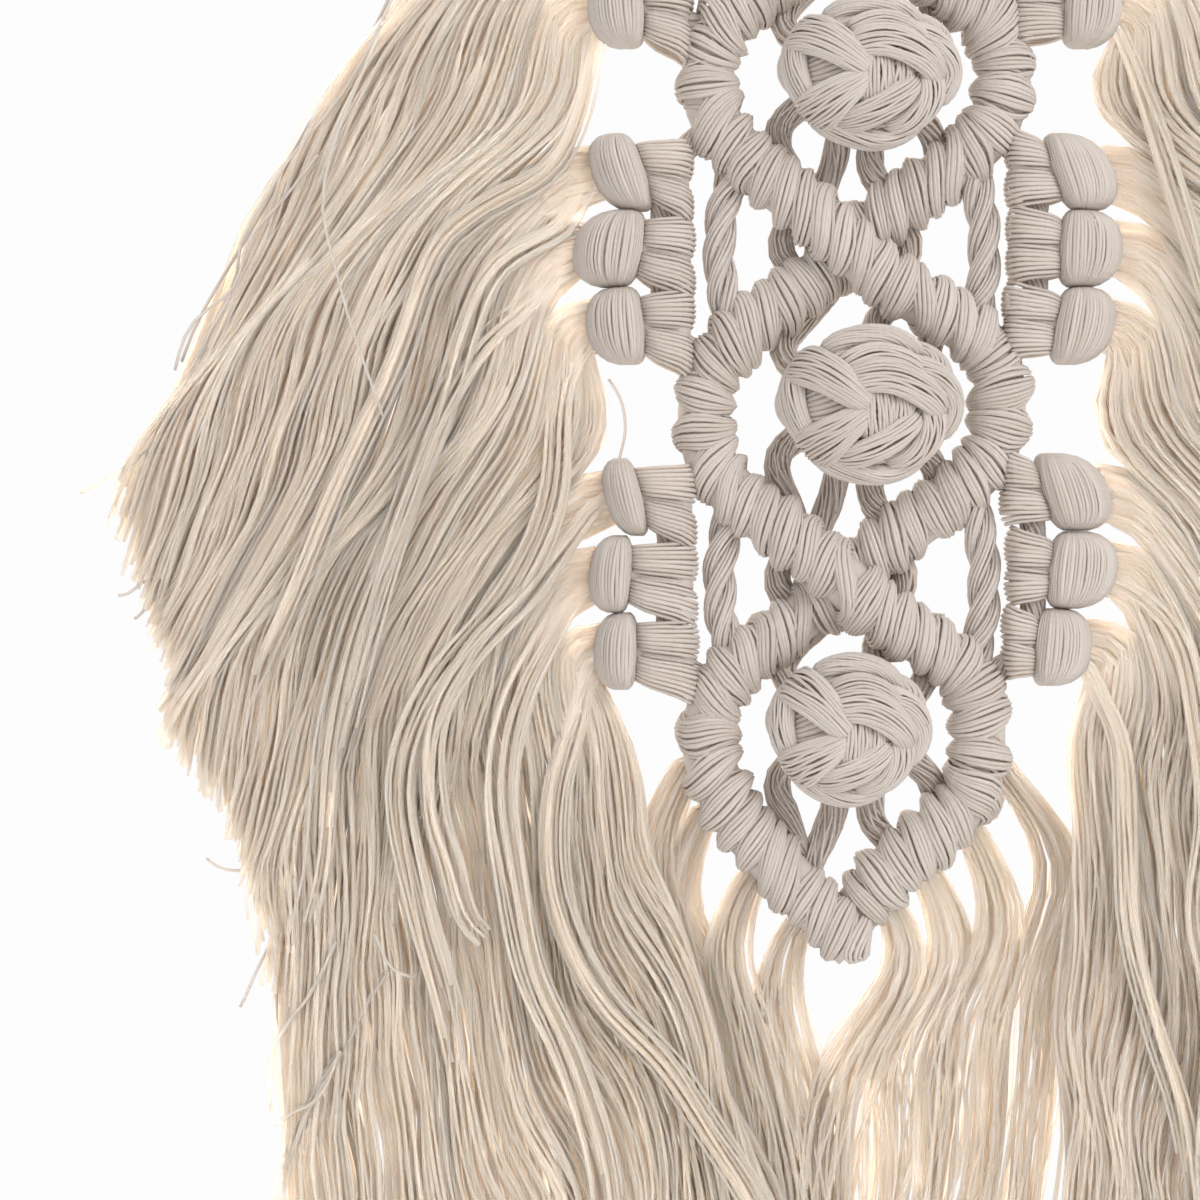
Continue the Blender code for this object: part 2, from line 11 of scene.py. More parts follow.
import bpy
import numpy as np
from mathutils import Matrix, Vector


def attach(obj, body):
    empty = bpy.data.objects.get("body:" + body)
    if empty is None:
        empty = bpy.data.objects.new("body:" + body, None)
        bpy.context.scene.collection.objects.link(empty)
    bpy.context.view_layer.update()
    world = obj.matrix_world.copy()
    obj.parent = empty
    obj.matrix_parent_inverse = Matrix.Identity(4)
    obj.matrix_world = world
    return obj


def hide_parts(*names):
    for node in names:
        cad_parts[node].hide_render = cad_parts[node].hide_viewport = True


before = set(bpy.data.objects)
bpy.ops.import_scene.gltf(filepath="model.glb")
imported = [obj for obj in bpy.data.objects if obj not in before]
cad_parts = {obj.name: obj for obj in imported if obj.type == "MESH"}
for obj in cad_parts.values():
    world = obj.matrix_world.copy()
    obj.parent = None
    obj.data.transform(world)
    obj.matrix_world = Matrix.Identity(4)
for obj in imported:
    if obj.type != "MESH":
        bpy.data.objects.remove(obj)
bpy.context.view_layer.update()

MM = 0.001
BODY = "root"
BACKWARDS = np.array([0.0, 1.0, 0.0])
# Turns a way seen from the front by a quarter.
ACROSS = np.array([[0.0, 0.0, 1.0], [0.0, 0.0, 0.0], [-1.0, 0.0, 0.0]])


def rows(kind, *values):
    """A table whose rows have the named columns of `kind`."""
    return tuple(kind(*row) for row in values)


# ---- the hanging's own lines

BAR_RADIUS = 6.7
HEADING_HALF = 40.0
HEADING_ARM = 27.0
OVER = 3.4
OVER_EASE = 0.2
CROSSING_ASIDE = 7.0
CROSSING_FALL = 6.2
Crossing = namedtuple("Crossing", "x drop")
CROSSINGS = rows(Crossing, (-2.4, 35.4), (-2.7, 101.6), (-3.7, 168.4))
End = namedtuple("End", "bend_x bend_drop x depth drop")
LEFT_END = End(-14.0, 228.3, -1.2, -1.8, 241.0)
RIGHT_END = End(6.1, 225.4, 0.8, 1.0, 232.0)

Ring = namedtuple("Ring", "left_x left_top left_bottom right_x right_top right_bottom")
RINGS = rows(
    Ring,
    (-31.1, 57, 79, 28.4, 56, 79),
    (-31.8, 123, 148, 27.7, 121, 145),
    (-30.9, 188, 212, 23.6, 187, 212),
)
CORNER = 0.88

Berry = namedtuple("Berry", "x drop half_x half_y half_z turn")
BERRIES = rows(
    Berry,
    (0.6, 67.6, 17.6, 12, 14.6, 0),
    (0.6, 133.4, 18, 12, 15, 0.04),
    (-3.6, 197.6, 15.8, 11.4, 14.4, -0.1),
)
BERRY_DEPTH = -5.0

Tie = namedtuple("Tie", "near_x near_drop bow_x bow_drop far_x far_drop")
TIES = rows(
    Tie,
    (-10, -4, -15.6, -12, -9, -20.5),
    (4, -8, 2.8, -16.5, 7, -22),
    (-10, 4, -16.8, 10.5, -14, 20.5),
    (-4, 8, -5.8, 17.5, -9, 25),
    (2, 8, 2.2, 18.5, 7, 24.5),
)
TIE_ROOT_DEPTH = -2.0
TIE_DEPTH = 2.6
# Two lesser ties, and the loops at both sides of a crossing, by places from its middle.
LESSER_TIES = rows(Tie, (8, -4, 13.4, -11, 14, -19), (8, 4, 14.4, 11.4, 16, 19))
CROSSING_LOOPS = (
    ((-4.0, -9.0), (-11.0, -5.6), (-13.2, -0.4), (-10.6, 4.6), (-4.0, 8.4)),
    ((4.0, -9.0), (10.2, -6.0), (12.6, -1.4), (10.8, 3.6), (4.0, 8.0)),
)
LOOP_DEPTH = 4.4
# How far the ties run on behind the bars, as a share of their last run.
TIE_RUN_ON = 0.5

TWIST_HALF_LENGTH = 17.0
TWIST_PITCH = 26.0
TWIST_STRANDS = 3
Bow = namedtuple("Bow", "side end middle")
BOWS = rows(Bow, (-1, 25.4, 28.2), (1, 22.2, 24.2))

Head = namedtuple("Head", "drop cord_reach out")
LEFT_HEADS = (
    rows(Head, (23.5, 39, 16), (38.7, 39.4, 17.5), (54, 39, 15.5)),
    rows(Head, (86.6, 38.8, 15), (101.8, 39.4, 18), (117.2, 38.8, 16)),
    rows(Head, (151.4, 37.6, 13.5), (166.8, 38.2, 16), (182.2, 37.8, 15.5)),
)
RIGHT_HEADS = (
    rows(Head, (23.5, 35.6, 16), (38.7, 36, 17), (54, 35, 16.5)),
    rows(Head, (86.6, 34, 16), (101.8, 34.6, 17), (117.2, 33.6, 16.5)),
    rows(Head, (150.4, 33, 16.1), (166, 34.2, 16.5), (181.4, 32.4, 13.2)),
)
HEAD_PITCH = 15.0

Fall = namedtuple("Fall", "drop outer trimmed")
FALLS = rows(
    Fall,
    (16, 53, 200),
    (30, 76, 200),
    (52, 95, 200),
    (81, 111, 200),
    (111, 130, 200),
    (148, 144.5, 145.5),
    (166, 152, 144.5),
    (182, 161, 139.5),
    (212, 176, 129),
    (232, 186, 119.5),
    (252, 194, 115),
    (320, 212, 118),
)
Edge = namedtuple("Edge", "drop left right")
EDGES = rows(
    Edge,
    (66, 53, 44),
    (74, 53.5, 44),
    (132, 49.5, 45),
    (141, 50, 45),
    (198, 46, 40),
    (212, 44.5, 41),
    (232, 40, 42.6),
    (252, 33, 42.6),
    (272, 25, 40),
    (292, 17, 38),
    (322, 9, 36),
)
HEAD_MARGIN = 3.6
LANES = 4
BOTTOM_DROP = 316.0
SHORTEST = 20.0
BOTTOM_RISE = 0.14
FULLNESS = 6.0
BELLY_START = 56.0
BELLY_WIDTH = 96.0

Tail = namedtuple("Tail", "x bow_x bow_drop turn_x turn_drop end_x end_drop")
TAILS = rows(
    Tail,
    (-35.5, -42, 224, -38, 248, -31, 311),
    (-28, -37, 233, -30, 252, -21, 314),
    (-18.5, -26.5, 243, -22.4, 261, -13.5, 316),
    (-9, -16.3, 252, -13.5, 269, -10, 318),
    (2.5, 8.6, 246, -2.8, 269, -5, 318),
    (9.5, 18.4, 244, 10.4, 265, 4, 317),
    (19, 28.2, 237, 22.8, 259, 15.5, 315),
    (28, 40, 226, 34.5, 252, 28, 312),
)
TAIL_DEPTHS = (6.2, 8.0)

# Which of a piece's two materials a yarn has.
KNOT_LOOK = 0
FRINGE_LOOK = 1

YARN_RADIUS = 0.43
# From one yarn's middle to the next in a wrap, in the loop of a head and by strand width.
YARN_STEP = 0.78
BIGHT_PITCH = 0.77
STRAND_DENSITY = 3.9
# A yarn of a small cord, and the yarns on a popcorn knot's strands and on its ball.
THIN_YARN_RADIUS = 0.95 * YARN_RADIUS
STRAND_YARN_RADIUS = 0.37
BALL_YARN_RADIUS = 0.62
FRINGE_RADIUS = 0.38


def at(x, depth, drop):
    """A point of the part, or an array of them."""
    return np.stack(np.broadcast_arrays(x, depth, -np.asarray(drop, float)), axis=-1)


def unit(vectors):
    return vectors / np.maximum(np.linalg.norm(vectors, axis=-1, keepdims=True), 1e-9)


def smoothed(share):
    """0 to 1 with a soft start and a soft stop."""
    share = np.clip(share, 0.0, 1.0)
    return share * share * (3.0 - 2.0 * share)


def shades(rng, middle, apart, among, count):
    """The tones of a bundle's yarns: bundles differ by `apart` and their yarns by `among`."""
    return np.clip(rng.normal(middle, apart) + rng.normal(0.0, among, count), 0.0, 1.0)


# ---- curves

# Points worked out from one given point of a curve to the next, and a line's own step.
CURVE_STEPS = 12
LINE_STEP = 0.7


def evenly(points, count):
    """`count` points along a line of points, the same distance apart."""
    steps = np.linalg.norm(np.diff(points, axis=0), axis=1)
    lengths = np.concatenate([[0.0], np.cumsum(steps)])
    wanted = np.linspace(0.0, lengths[-1], count)
    return np.stack([np.interp(wanted, lengths, points[:, axis]) for axis in range(3)], axis=1)


def curve_through(points, count):
    """`count` evenly spaced points on a smooth curve through a few points."""
    points = np.array(points)
    padded = np.vstack([2 * points[0] - points[1], points, 2 * points[-1] - points[-2]])
    ways = unit(padded[2:] - padded[:-2])
    t = np.linspace(0.0, 1.0, CURVE_STEPS + 1)[1:, None]
    fine = [points[:1]]
    for a, b, way_a, way_b in zip(points, points[1:], ways, ways[1:]):
        pull = np.linalg.norm(b - a) / 3
        near, far = a + way_a * pull, b - way_b * pull
        fine.append(
            a * (1 - t) ** 3 + 3 * near * t * (1 - t) ** 2 + 3 * far * t**2 * (1 - t) + b * t**3
        )
    return evenly(np.vstack(fine), count)


class Line:
    """A curve that can be asked for its place and directions at any distance along it."""

    def __init__(self, points):
        self.length = np.linalg.norm(np.diff(points, axis=0), axis=1).sum()
        self.places = evenly(points, int(self.length / LINE_STEP))
        self.at = np.linspace(0.0, self.length, len(self.places))
        self.ways = unit(np.gradient(self.places, axis=0))

    def look_up(self, values, distance):
        """A row of `values` for each distance."""
        distance = np.asarray(distance, float)
        return np.stack([np.interp(distance, self.at, values[:, k]) for k in range(3)], axis=-1)

    def place(self, distance):
        """The point there; past either end the line runs on straight."""
        distance = np.asarray(distance, float)
        beyond = distance - np.clip(distance, 0.0, self.length)
        return self.look_up(self.places, distance) + beyond[..., None] * self.way(distance)

    def way(self, distance):
        return unit(self.look_up(self.ways, distance))

    def frame(self, distance):
        """The way along, the way across as seen from the front, and the way to the back."""
        along = self.way(distance)
        across = unit(np.cross(along, BACKWARDS))
        return along, across, np.cross(across, along)


# ---- yarns to meshes

# The four corners of a yarn's face, by steps along it and by sides round it.
CORNER_STEPS = np.array([0, 1, 1, 0])
CORNER_SIDES = np.array([0, 0, 1, 1])
# On the bake's map each yarn has a strip of its own: the shares left free at a strip's sides
# and ends, and the middle, half width and half length of the small face that closes an end.
STRIP_MARGIN = 0.08
END_MARGIN = 0.01
CAP_PLACE = 0.005
CAP_HALF_WIDTH = 0.4
CAP_HALF_LENGTH = 0.004


def dress(obj, node):
    """Attaches a mesh to the part's body and hides the node of the part that it is drawn in place
    of.
    """
    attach(obj, BODY)
    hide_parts(node)


class Yarns:
    """Round yarns, gathered to become one mesh."""

    materials = ()

    def __init__(self):
        self.points = []
        self.tones = []
        self.faces = []
        self.looks = []
        self.maps = []
        self.count = 0
        self.vertices = 0

    def add(
        self,
        paths,
        outward=BACKWARDS,
        tone=0.5,
        radius=YARN_RADIUS,
        sides=4,
        look=KNOT_LOOK,
        closed=False,
    ):
        """Sweeps a round section down each of N lines of K points (N, K, 3)."""
        n, k, _ = paths.shape
        if closed:
            along = unit(np.roll(paths, -1, axis=1) - np.roll(paths, 1, axis=1))
        else:
            along = unit(np.gradient(paths, axis=1))
        across = unit(np.cross(along, outward))
        up = np.cross(across, along)
        turn = 2 * np.pi * np.arange(sides)[:, None] / sides
        thick = np.broadcast_to(radius, (n, k))[..., None, None]
        ring = across[:, :, None] * np.cos(turn) + up[:, :, None] * np.sin(turn)
        self.points.append((paths[:, :, None] + ring * thick).reshape(-1, 3))
        self.tones.append(np.repeat(np.broadcast_to(tone, n), k * sides))

        steps = np.linalg.norm(np.diff(paths, axis=1), axis=2).mean(axis=0)
        run = np.cumsum(np.concatenate([[0.0], steps, steps[-1:]]))
        spans = k if closed else k - 1
        step = np.arange(spans)[:, None, None] + CORNER_STEPS
        side = np.arange(sides)[:, None] + CORNER_SIDES
        yarn = np.arange(n)[:, None, None, None]
        quads = (yarn * k + step % k) * sides + side % sides
        self.add_faces(quads, side / sides, run[step], yarn, run[spans], look)
        if not closed:
            self.add_caps(n, k, sides, run[spans], look)
        self.count += n
        self.vertices += n * k * sides

    def add_faces(self, faces, turn, run, yarn, whole, look):
        """Faces with their corners' places round and along the yarns."""
        corners = faces.shape[-1]
        self.faces.append((self.vertices + faces).reshape(-1, corners))
        self.looks.append(np.full(faces.size // corners, look))
        maps = np.broadcast_arrays(turn, run, self.count + yarn, run / whole, faces)
        self.maps.append(np.stack([each.reshape(-1) for each in maps[:4]]))

    def add_caps(self, n, k, sides, whole, look):
        """Closes both ends of each yarn."""
        yarn = np.arange(n)[:, None]
        ring = np.arange(sides)
        turn = 2 * np.pi * (ring + 0.5) / sides
        across = 0.5 + CAP_HALF_WIDTH * np.cos(turn)
        for step, order, place in ((0, 1, CAP_PLACE), (k - 1, -1, 1.0 - CAP_PLACE)):
            run = whole * (place + CAP_HALF_LENGTH * np.sin(turn))
            faces = (yarn * k + step) * sides + ring[::order]
            self.add_faces(faces, across, run, yarn, whole, look)

    def piece(self, name, node="knotted_body"):
        """The yarns as one mesh object, drawn in place of one of the part's nodes, which is
        hidden.
        """
        mesh = bpy.data.meshes.new(name)
        points = np.vstack(self.points) * MM
        mesh.vertices.add(len(points))
        mesh.vertices.foreach_set("co", points.astype(np.float32).ravel())
        corners = np.concatenate([faces.reshape(-1) for faces in self.faces])
        sizes = np.concatenate([np.full(len(faces), faces.shape[1]) for faces in self.faces])
        mesh.loops.add(len(corners))
        mesh.loops.foreach_set("vertex_index", corners.astype(np.int32))
        mesh.polygons.add(len(sizes))
        starts = np.concatenate([[0], np.cumsum(sizes)[:-1]])
        mesh.polygons.foreach_set("loop_start", starts.astype(np.int32))
        for material in self.materials:
            mesh.materials.append(material)
        mesh.polygons.foreach_set("material_index", np.concatenate(self.looks).astype(np.int32))
        mesh.update(calc_edges=True)
        mesh.shade_smooth()
        self.add_maps(mesh)
        tones = mesh.attributes.new("tone", "FLOAT", "POINT")
        tones.data.foreach_set("value", np.concatenate(self.tones).astype(np.float32))
        obj = bpy.data.objects.new(name, mesh)
        bpy.context.scene.collection.objects.link(obj)
        dress(obj, node)

    def add_maps(self, mesh):
        """One map that runs round and along each yarn, and one with a strip for each yarn."""
        turn, run, yarn, share = np.concatenate(self.maps, axis=1)
        strip = (yarn + STRIP_MARGIN + (1 - 2 * STRIP_MARGIN) * turn) / self.count
        share = END_MARGIN + (1 - 2 * END_MARGIN) * share
        for name, across, up in (("Yarn", turn, run), ("OFBake", strip, share)):
            flat = np.stack([across, up], axis=1).astype(np.float32)
            mesh.uv_layers.new(name=name).data.foreach_set("uv", flat.ravel())


def wander(rng, count, points, waves, size):
    """Smooth random lines about zero, `size` high: sums of a few sine waves."""
    result = np.zeros((count, len(points)))
    for wave in waves:
        phase = rng.uniform(0, 2 * np.pi, (count, 1))
        speed = wave * rng.uniform(0.75, 1.3, (count, 1))
        tall = rng.normal(0.0, 1.0, (count, 1))
        result += tall * np.sin(2 * np.pi * speed * points + phase) / math.sqrt(wave)
    return size * result / math.sqrt(len(waves))


def rope(path, normals, half_width, half_height, count, twist, rng, loose=0.12):
    """`count` yarns laid round an oval bundle that follows a path, and the ways out of it.
    `normals` point out of what it lies on, and `twist` is in turns from end to end."""
    along = unit(np.gradient(path, axis=0))
    across = unit(np.cross(along, normals))
    up = np.cross(across, along)
    share = np.linspace(0.0, 1.0, len(path))
    angle = 2 * np.pi * (np.arange(count)[:, None] / count + twist * share)
    angle = angle + wander(rng, count, share, (1, 2), loose)
    swell = 1.0 + wander(rng, count, share, (1, 2), loose * 0.4)
    aside = (np.cos(angle) * half_width * swell)[..., None] * across
    out = (np.sin(angle) * half_height * swell)[..., None] * up
    outward = unit(
        (np.cos(angle) / half_width)[..., None] * across
        + (np.sin(angle) / half_height)[..., None] * up
    )
    return path + aside + out, outward


# ---- bars


def ring_side(ring, side):
    """Where a ring's left (-1) or right (1) side stands, and its top and bottom."""
    if side < 0:
        return ring.left_x, ring.left_top, ring.left_bottom
    return ring.right_x, ring.right_top, ring.right_bottom


def strand_route(side):
    """The middle line of a wrapped cord from the heading's left (-1) or right (1) arm to
    the lowest point. The one that falls to the right passes in front at a crossing."""
    points = [at(side * HEADING_ARM, 0.0, BAR_RADIUS + 1.0)]
    for crossing, ring in zip(CROSSINGS, RINGS):
        for share in (-1, 0, 1):
            aside = side * share * CROSSING_ASIDE
            depth = side * OVER * (1 - OVER_EASE * abs(share))
            points.append(at(crossing.x - aside, depth, crossing.drop + share * CROSSING_FALL))
        side = -side
        x, top, bottom = ring_side(ring, side)
        points.append(at(x * CORNER, 0.0, top))
        points.append(at(x, 0.0, (top + bottom) / 2))
        points.append(at(x * CORNER, 0.0, bottom))
    end = LEFT_END if side < 0 else RIGHT_END
    points.append(at(end.bend_x, 0.0, end.bend_drop))
    points.append(at(end.x, end.depth, end.drop))
    return points


# The wraps' distances along a bar, wider where it is upright: from which share of upright
# on, and over how much more.
WRAP_PITCH = 4.9
UPRIGHT_PITCH = 6.8
UPRIGHT_FROM = 0.80
UPRIGHT_SPAN = 0.16
FIRST_WRAP = 1.5
LAST_WRAP = 1.0
WRAP_LEAN = math.radians(20)
WRAP_STEPS = 16
# A wrap's width in pitches, its share of that at the bar's flanks, and how far its middle
# stands proud and its rims fall.
WRAP_WIDTHS = (1.25, 1.50)
FLANK_SHARE = 0.56
WRAP_RISE = 0.20
RIM_FALL = 1.45
RIM_POWER = 2.2
# The cord inside a bar, the distance between its points, and how far short it stops.
CORE_RADIUS = 5.1
CORE_STEP = 3.0
CORE_SHORT = 2.5
# How far past its line's end a bar's wraps go on, and over what length they close.
RUN_ON = {-1: 5.5, 1: 2.6}
CLOSING = 7.0
NEARLY_CLOSED = 0.98


def wrap_places(line, run_on):
    """Where the wraps of a bar sit along it, and how wide each is: wider where it is upright."""
    places = []
    distance = FIRST_WRAP
    while distance < line.length + run_on - LAST_WRAP:
        upright = smoothed((abs(line.way(distance)[2]) - UPRIGHT_FROM) / UPRIGHT_SPAN)
        pitch = WRAP_PITCH + (UPRIGHT_PITCH - WRAP_PITCH) * upright
        places.append((distance, pitch))
        distance += pitch
    return places


def wrapped_bar(yarns, line, run_on, rng):
    """A cord with each wrap a flat bundle of yarns that narrows to both rims."""
    phi = np.linspace(0.0, 2 * np.pi, WRAP_STEPS, endpoint=False)
    for distance, pitch in wrap_places(line, run_on):
        distance += rng.normal(0.0, 0.25)
        width = pitch * rng.uniform(*WRAP_WIDTHS)
        count = round(width / YARN_STEP)
        along, across, _ = line.frame(distance)
        lean = 2 * math.tan(WRAP_LEAN) * across[2] * along[2] + rng.normal(0.0, 0.13)
        u = np.linspace(-1.0, 1.0, count)[:, None] + rng.normal(0.0, 0.05, (count, 1))
        leaf = FLANK_SHARE + (1 - FLANK_SHARE) * np.cos(phi) ** 2
        drift = wander(rng, count, phi / (2 * np.pi), (1, 2), 0.10)
        bend = rng.normal(0.0, 0.5) * np.sin(2 * phi)
        s = distance + lean * BAR_RADIUS * np.sin(phi) + u * width / 2 * leaf + drift + bend
        s = np.minimum(s, line.length + run_on + 0.15 * u)
        radius = BAR_RADIUS - YARN_RADIUS + WRAP_RISE - RIM_FALL * np.abs(u) ** RIM_POWER
        radius = radius + rng.normal(0.0, 0.26) + rng.normal(0.0, 0.07, (count, 1))
        radius = radius + 0.25 * np.cos(phi - rng.uniform(-0.5, 0.5))
        past = np.clip((s - line.length - run_on + CLOSING) / CLOSING, 0.0, NEARLY_CLOSED)
        radius = radius * np.sqrt(1.0 - past**2)
        _, across, back = line.frame(s)
        outward = across * np.sin(phi)[:, None] - back * np.cos(phi)[:, None]
        paths = line.place(s) + outward * radius[..., None]
        yarns.add(paths, outward, shades(rng, 0.5, 0.10, 0.14, count), closed=True)


def core(yarns, line, run_on):
    """The plain cord inside the wraps."""
    end = line.length + run_on - CORE_SHORT
    points = line.place(np.linspace(0.0, end, int(line.length / CORE_STEP)))
    yarns.add(points[None], radius=CORE_RADIUS, sides=10)


def bars(rng):
    """The two braided cords and the level heading bar."""
    ends = at(np.array([-HEADING_HALF, HEADING_HALF]), 0.0, BAR_RADIUS)
    for name, points, run_on in (
        ("bar_from_left", curve_through(strand_route(-1), 400), RUN_ON[-1]),
        ("bar_from_right", curve_through(strand_route(1), 400), RUN_ON[1]),
        ("heading", ends, 0.0),
    ):
        yarns = Yarns()
        line = Line(points)
        core(yarns, line, run_on)
        wrapped_bar(yarns, line, run_on, rng)
        yarns.piece(name)


# ---- popcorn knots

# The strands of the rolled braid: their places on the knot as shares of its half width and
# half height, their own half widths, how far they stand out, and their yarns' turns.
Strand = namedtuple("Strand", "places start_half end_half lift twist")
BRAID = rows(
    Strand,
    (((-0.94, 0.44), (-1, 0.12), (-0.9, -0.28)), 2.2, 2.2, -0.9, 0.15),
    (((0.07, 0.22), (0.07, -0.2), (0.07, -0.58)), 3.3, 3.3, -0.8, 0.06),
    (((0.38, 0.1), (0.36, -0.18), (0.32, -0.46)), 2.3, 2.3, -1.2, 0.06),
    (((-0.7, 0.7), (-0.86, 0.18), (-0.82, -0.22), (-0.7, -0.52)), 3.2, 3, -0.1, 0.12),
    (((0.52, 0.84), (0.76, 0.66), (0.84, 0.42), (0.8, 0.2)), 2.6, 2.8, -0.1, -0.12),
    (((-0.5, 0.8), (-0.06, 0.92), (0.32, 0.9), (0.64, 0.74)), 2.8, 2.7, 0.2, -0.3),
    (((0.72, -0.04), (0.68, -0.42), (0.5, -0.7), (0.2, -0.88)), 3.1, 2.7, 0, 0.2),
    (((-0.68, -0.66), (-0.22, -0.9), (0.24, -0.94), (0.64, -0.71)), 3, 2.5, 0, -0.22),
    (((-0.7, -0.66), (-0.4, -0.4), (-0.02, -0.12)), 5.4, 2.3, 0.3, -0.07),
    (((-0.82, 0.58), (-0.48, 0.4), (-0.02, -0.04)), 5, 2.7, 0.7, 0.05),
    (((-0.36, -0.76), (0.06, -0.58), (0.52, -0.22)), 2.8, 2.5, 0.4, -0.14),
    (((0.42, 0.56), (0.78, 0.35), (0.95, -0.03), (0.84, -0.46)), 2.6, 2.9, 0.3, 0.16),
    (((-0.28, 0.54), (0.1, 0.64), (0.42, 0.54), (0.68, 0.34)), 2.6, 2.2, 0.1, 0.05),
    (((-0.22, 0.31), (0.18, 0.33), (0.56, 0.13), (0.8, -0.14)), 3.6, 2.8, 0.9, 0.06),
)
STRAND_STEPS = 15
STRAND_HALF_HEIGHT = 1.488
# How narrow a strand's ends are, how deep they tuck in, and where its middle lies.
END_SHARE = 0.72
END_TUCK = 2.3
STRAND_RISE = 0.2 - 0.35 * STRAND_HALF_HEIGHT
FARTHEST_OUT = 0.985
# The ball under the strands: its yarns' and its core's shares of the knot's size, and how
# far its yarns lean and stay from the poles.
BALL_SHARE = 0.88
CORE_SHARE = 0.83
BALL_YARNS = 56
BALL_STEPS = 20
BALL_LEAN = 0.5
BALL_POLE = 0.10


def on_ball(places, count):
    """A smooth run of unit directions to the front of a ball through flat places."""
    flat = np.array([(x, 0.0, z) for x, z in places])
    far = np.linalg.norm(flat, axis=1)
    near = np.minimum(far, FARTHEST_OUT)
    flat *= (near / far)[:, None]
    flat[:, 1] = -np.sqrt(1.0 - near**2)
    return unit(curve_through(flat, count))


def turned(places, angle):
    """Flat places turned about the knot's middle."""
    c, s = math.cos(angle), math.sin(angle)
    return [(x * c - z * s, x * s + z * c) for x, z in places]


def ball_core(name, middle, sizes):
    """The plain ball inside a popcorn knot's yarns."""
    bpy.ops.mesh.primitive_uv_sphere_add(segments=24, ring_count=14, radius=1.0)
    obj = bpy.context.object
    obj.name = obj.data.name = name
    points = np.empty(len(obj.data.vertices) * 3, np.float32)
    obj.data.vertices.foreach_get("co", points)
    points = (middle + points.reshape(-1, 3) * sizes) * MM
    obj.data.vertices.foreach_set("co", points.astype(np.float32).ravel())
    obj.data.shade_smooth()
    obj.data.materials.append(Yarns.materials[KNOT_LOOK])
    dress(obj, "knotted_body")


def ball_yarns(yarns, middle, sizes, rng):
    """The round of yarns under a popcorn knot's strands."""
    theta = np.linspace(BALL_POLE, np.pi - BALL_POLE, BALL_STEPS)
    turns = 2 * np.pi * np.arange(BALL_YARNS) / BALL_YARNS
    turns = turns[:, None] + BALL_LEAN * np.cos(theta)
    wide = np.sin(theta)
    ways = at(-np.cos(theta), wide * np.cos(turns), -wide * np.sin(turns))
    tone = np.clip(rng.normal(0.45, 0.15, BALL_YARNS), 0, 1)
    paths = middle + ways * (sizes * BALL_SHARE)
    yarns.add(paths, unit(ways / sizes), tone, BALL_YARN_RADIUS)


def popcorn_knot(number, berry, rng):
    """A rolled braid: strands of yarn over a ball of yarns."""
    middle = at(berry.x, BERRY_DEPTH, berry.drop)
    sizes = np.array([berry.half_x, berry.half_y, berry.half_z])
    yarns = Yarns()
    ball_yarns(yarns, middle, sizes, rng)
    share = np.linspace(0.0, 1.0, STRAND_STEPS)
    bow = np.sin(np.pi * share)
    for strand in BRAID:
        ways = on_ball(turned(strand.places, berry.turn + rng.normal(0, 0.03)), STRAND_STEPS)
        normals = unit(ways / sizes)
        half = strand.start_half + (strand.end_half - strand.start_half) * share
        half = half * (END_SHARE + (1 - END_SHARE) * bow**0.6)
        rise = strand.lift + STRAND_RISE - END_TUCK * (1.0 - bow**0.45)
        path = middle + ways * sizes + normals * rise[:, None]
        count = round((strand.start_half + strand.end_half) * STRAND_DENSITY)
        paths, outward = rope(
            path, normals, half, STRAND_HALF_HEIGHT, count, strand.twist, rng, 0.09
        )
        yarns.add(paths, outward, shades(rng, 0.55, 0.08, 0.12, count), STRAND_YARN_RADIUS)
    yarns.piece(f"popcorn_knot_{number}")
    ball_core(f"popcorn_core_{number}", middle, sizes * CORE_SHARE)


# A small cord: the half width and height of its bundle, its yarns, their twist in turns from
# end to end and how loose they lie, how they are drawn, the range of their tones, and the
# plain core inside.
SmallCord = namedtuple(
    "SmallCord",
    "half_width half_height yarns twist loose radius sides tones core core_sides core_tone",
)
TIE = SmallCord(2.4, 2.3, 18, 0.35, 0.2, THIN_YARN_RADIUS, 3, (0.1, 0.8), 1.8, 8, 0.3)
TWISTED = SmallCord(1.35, 1.25, 11, 0.7, 0.18, THIN_YARN_RADIUS, 3, (0.4, 1.0), 1.1, 6, 0.4)
SIDE_CORD = SmallCord(2.2, 2.2, 14, 1.6, 0.12, YARN_RADIUS, 4, (0.3, 0.8), 1.9, 8, 0.4)
TIE_STEPS = 12
TWIST_STEPS = 24
SIDE_CORD_STEPS = 26
# How far a twisted strand's middle lies from that of its cord.
STRAND_OUT = 1.85


def small_cord(yarns, path, normals, cord, rng):
    """A bundle of yarns laid along a path, round a plain core."""
    paths, outward = rope(
        path, normals, cord.half_width, cord.half_height, cord.yarns, cord.twist, rng, cord.loose
    )
    tone = rng.uniform(*cord.tones, cord.yarns)
    yarns.add(paths, outward, tone, cord.radius, cord.sides)
    yarns.add(path[None], BACKWARDS, cord.core_tone, cord.core, cord.core_sides)


def tie_routes():
    """The ways of all the cords behind the popcorn knots and the crossings."""
    for berry in BERRIES:
        for tie in TIES + LESSER_TIES:
            near = at(tie.near_x, TIE_ROOT_DEPTH, berry.drop + tie.near_drop)
            bow = at(tie.bow_x, TIE_DEPTH, berry.drop + tie.bow_drop)
            far = at(tie.far_x, TIE_DEPTH, berry.drop + tie.far_drop)
            yield [near, bow, far, far + TIE_RUN_ON * (far - bow)]
    for crossing in CROSSINGS:
        for loop in CROSSING_LOOPS:
            yield [at(crossing.x + x, LOOP_DEPTH, crossing.drop + drop) for x, drop in loop]


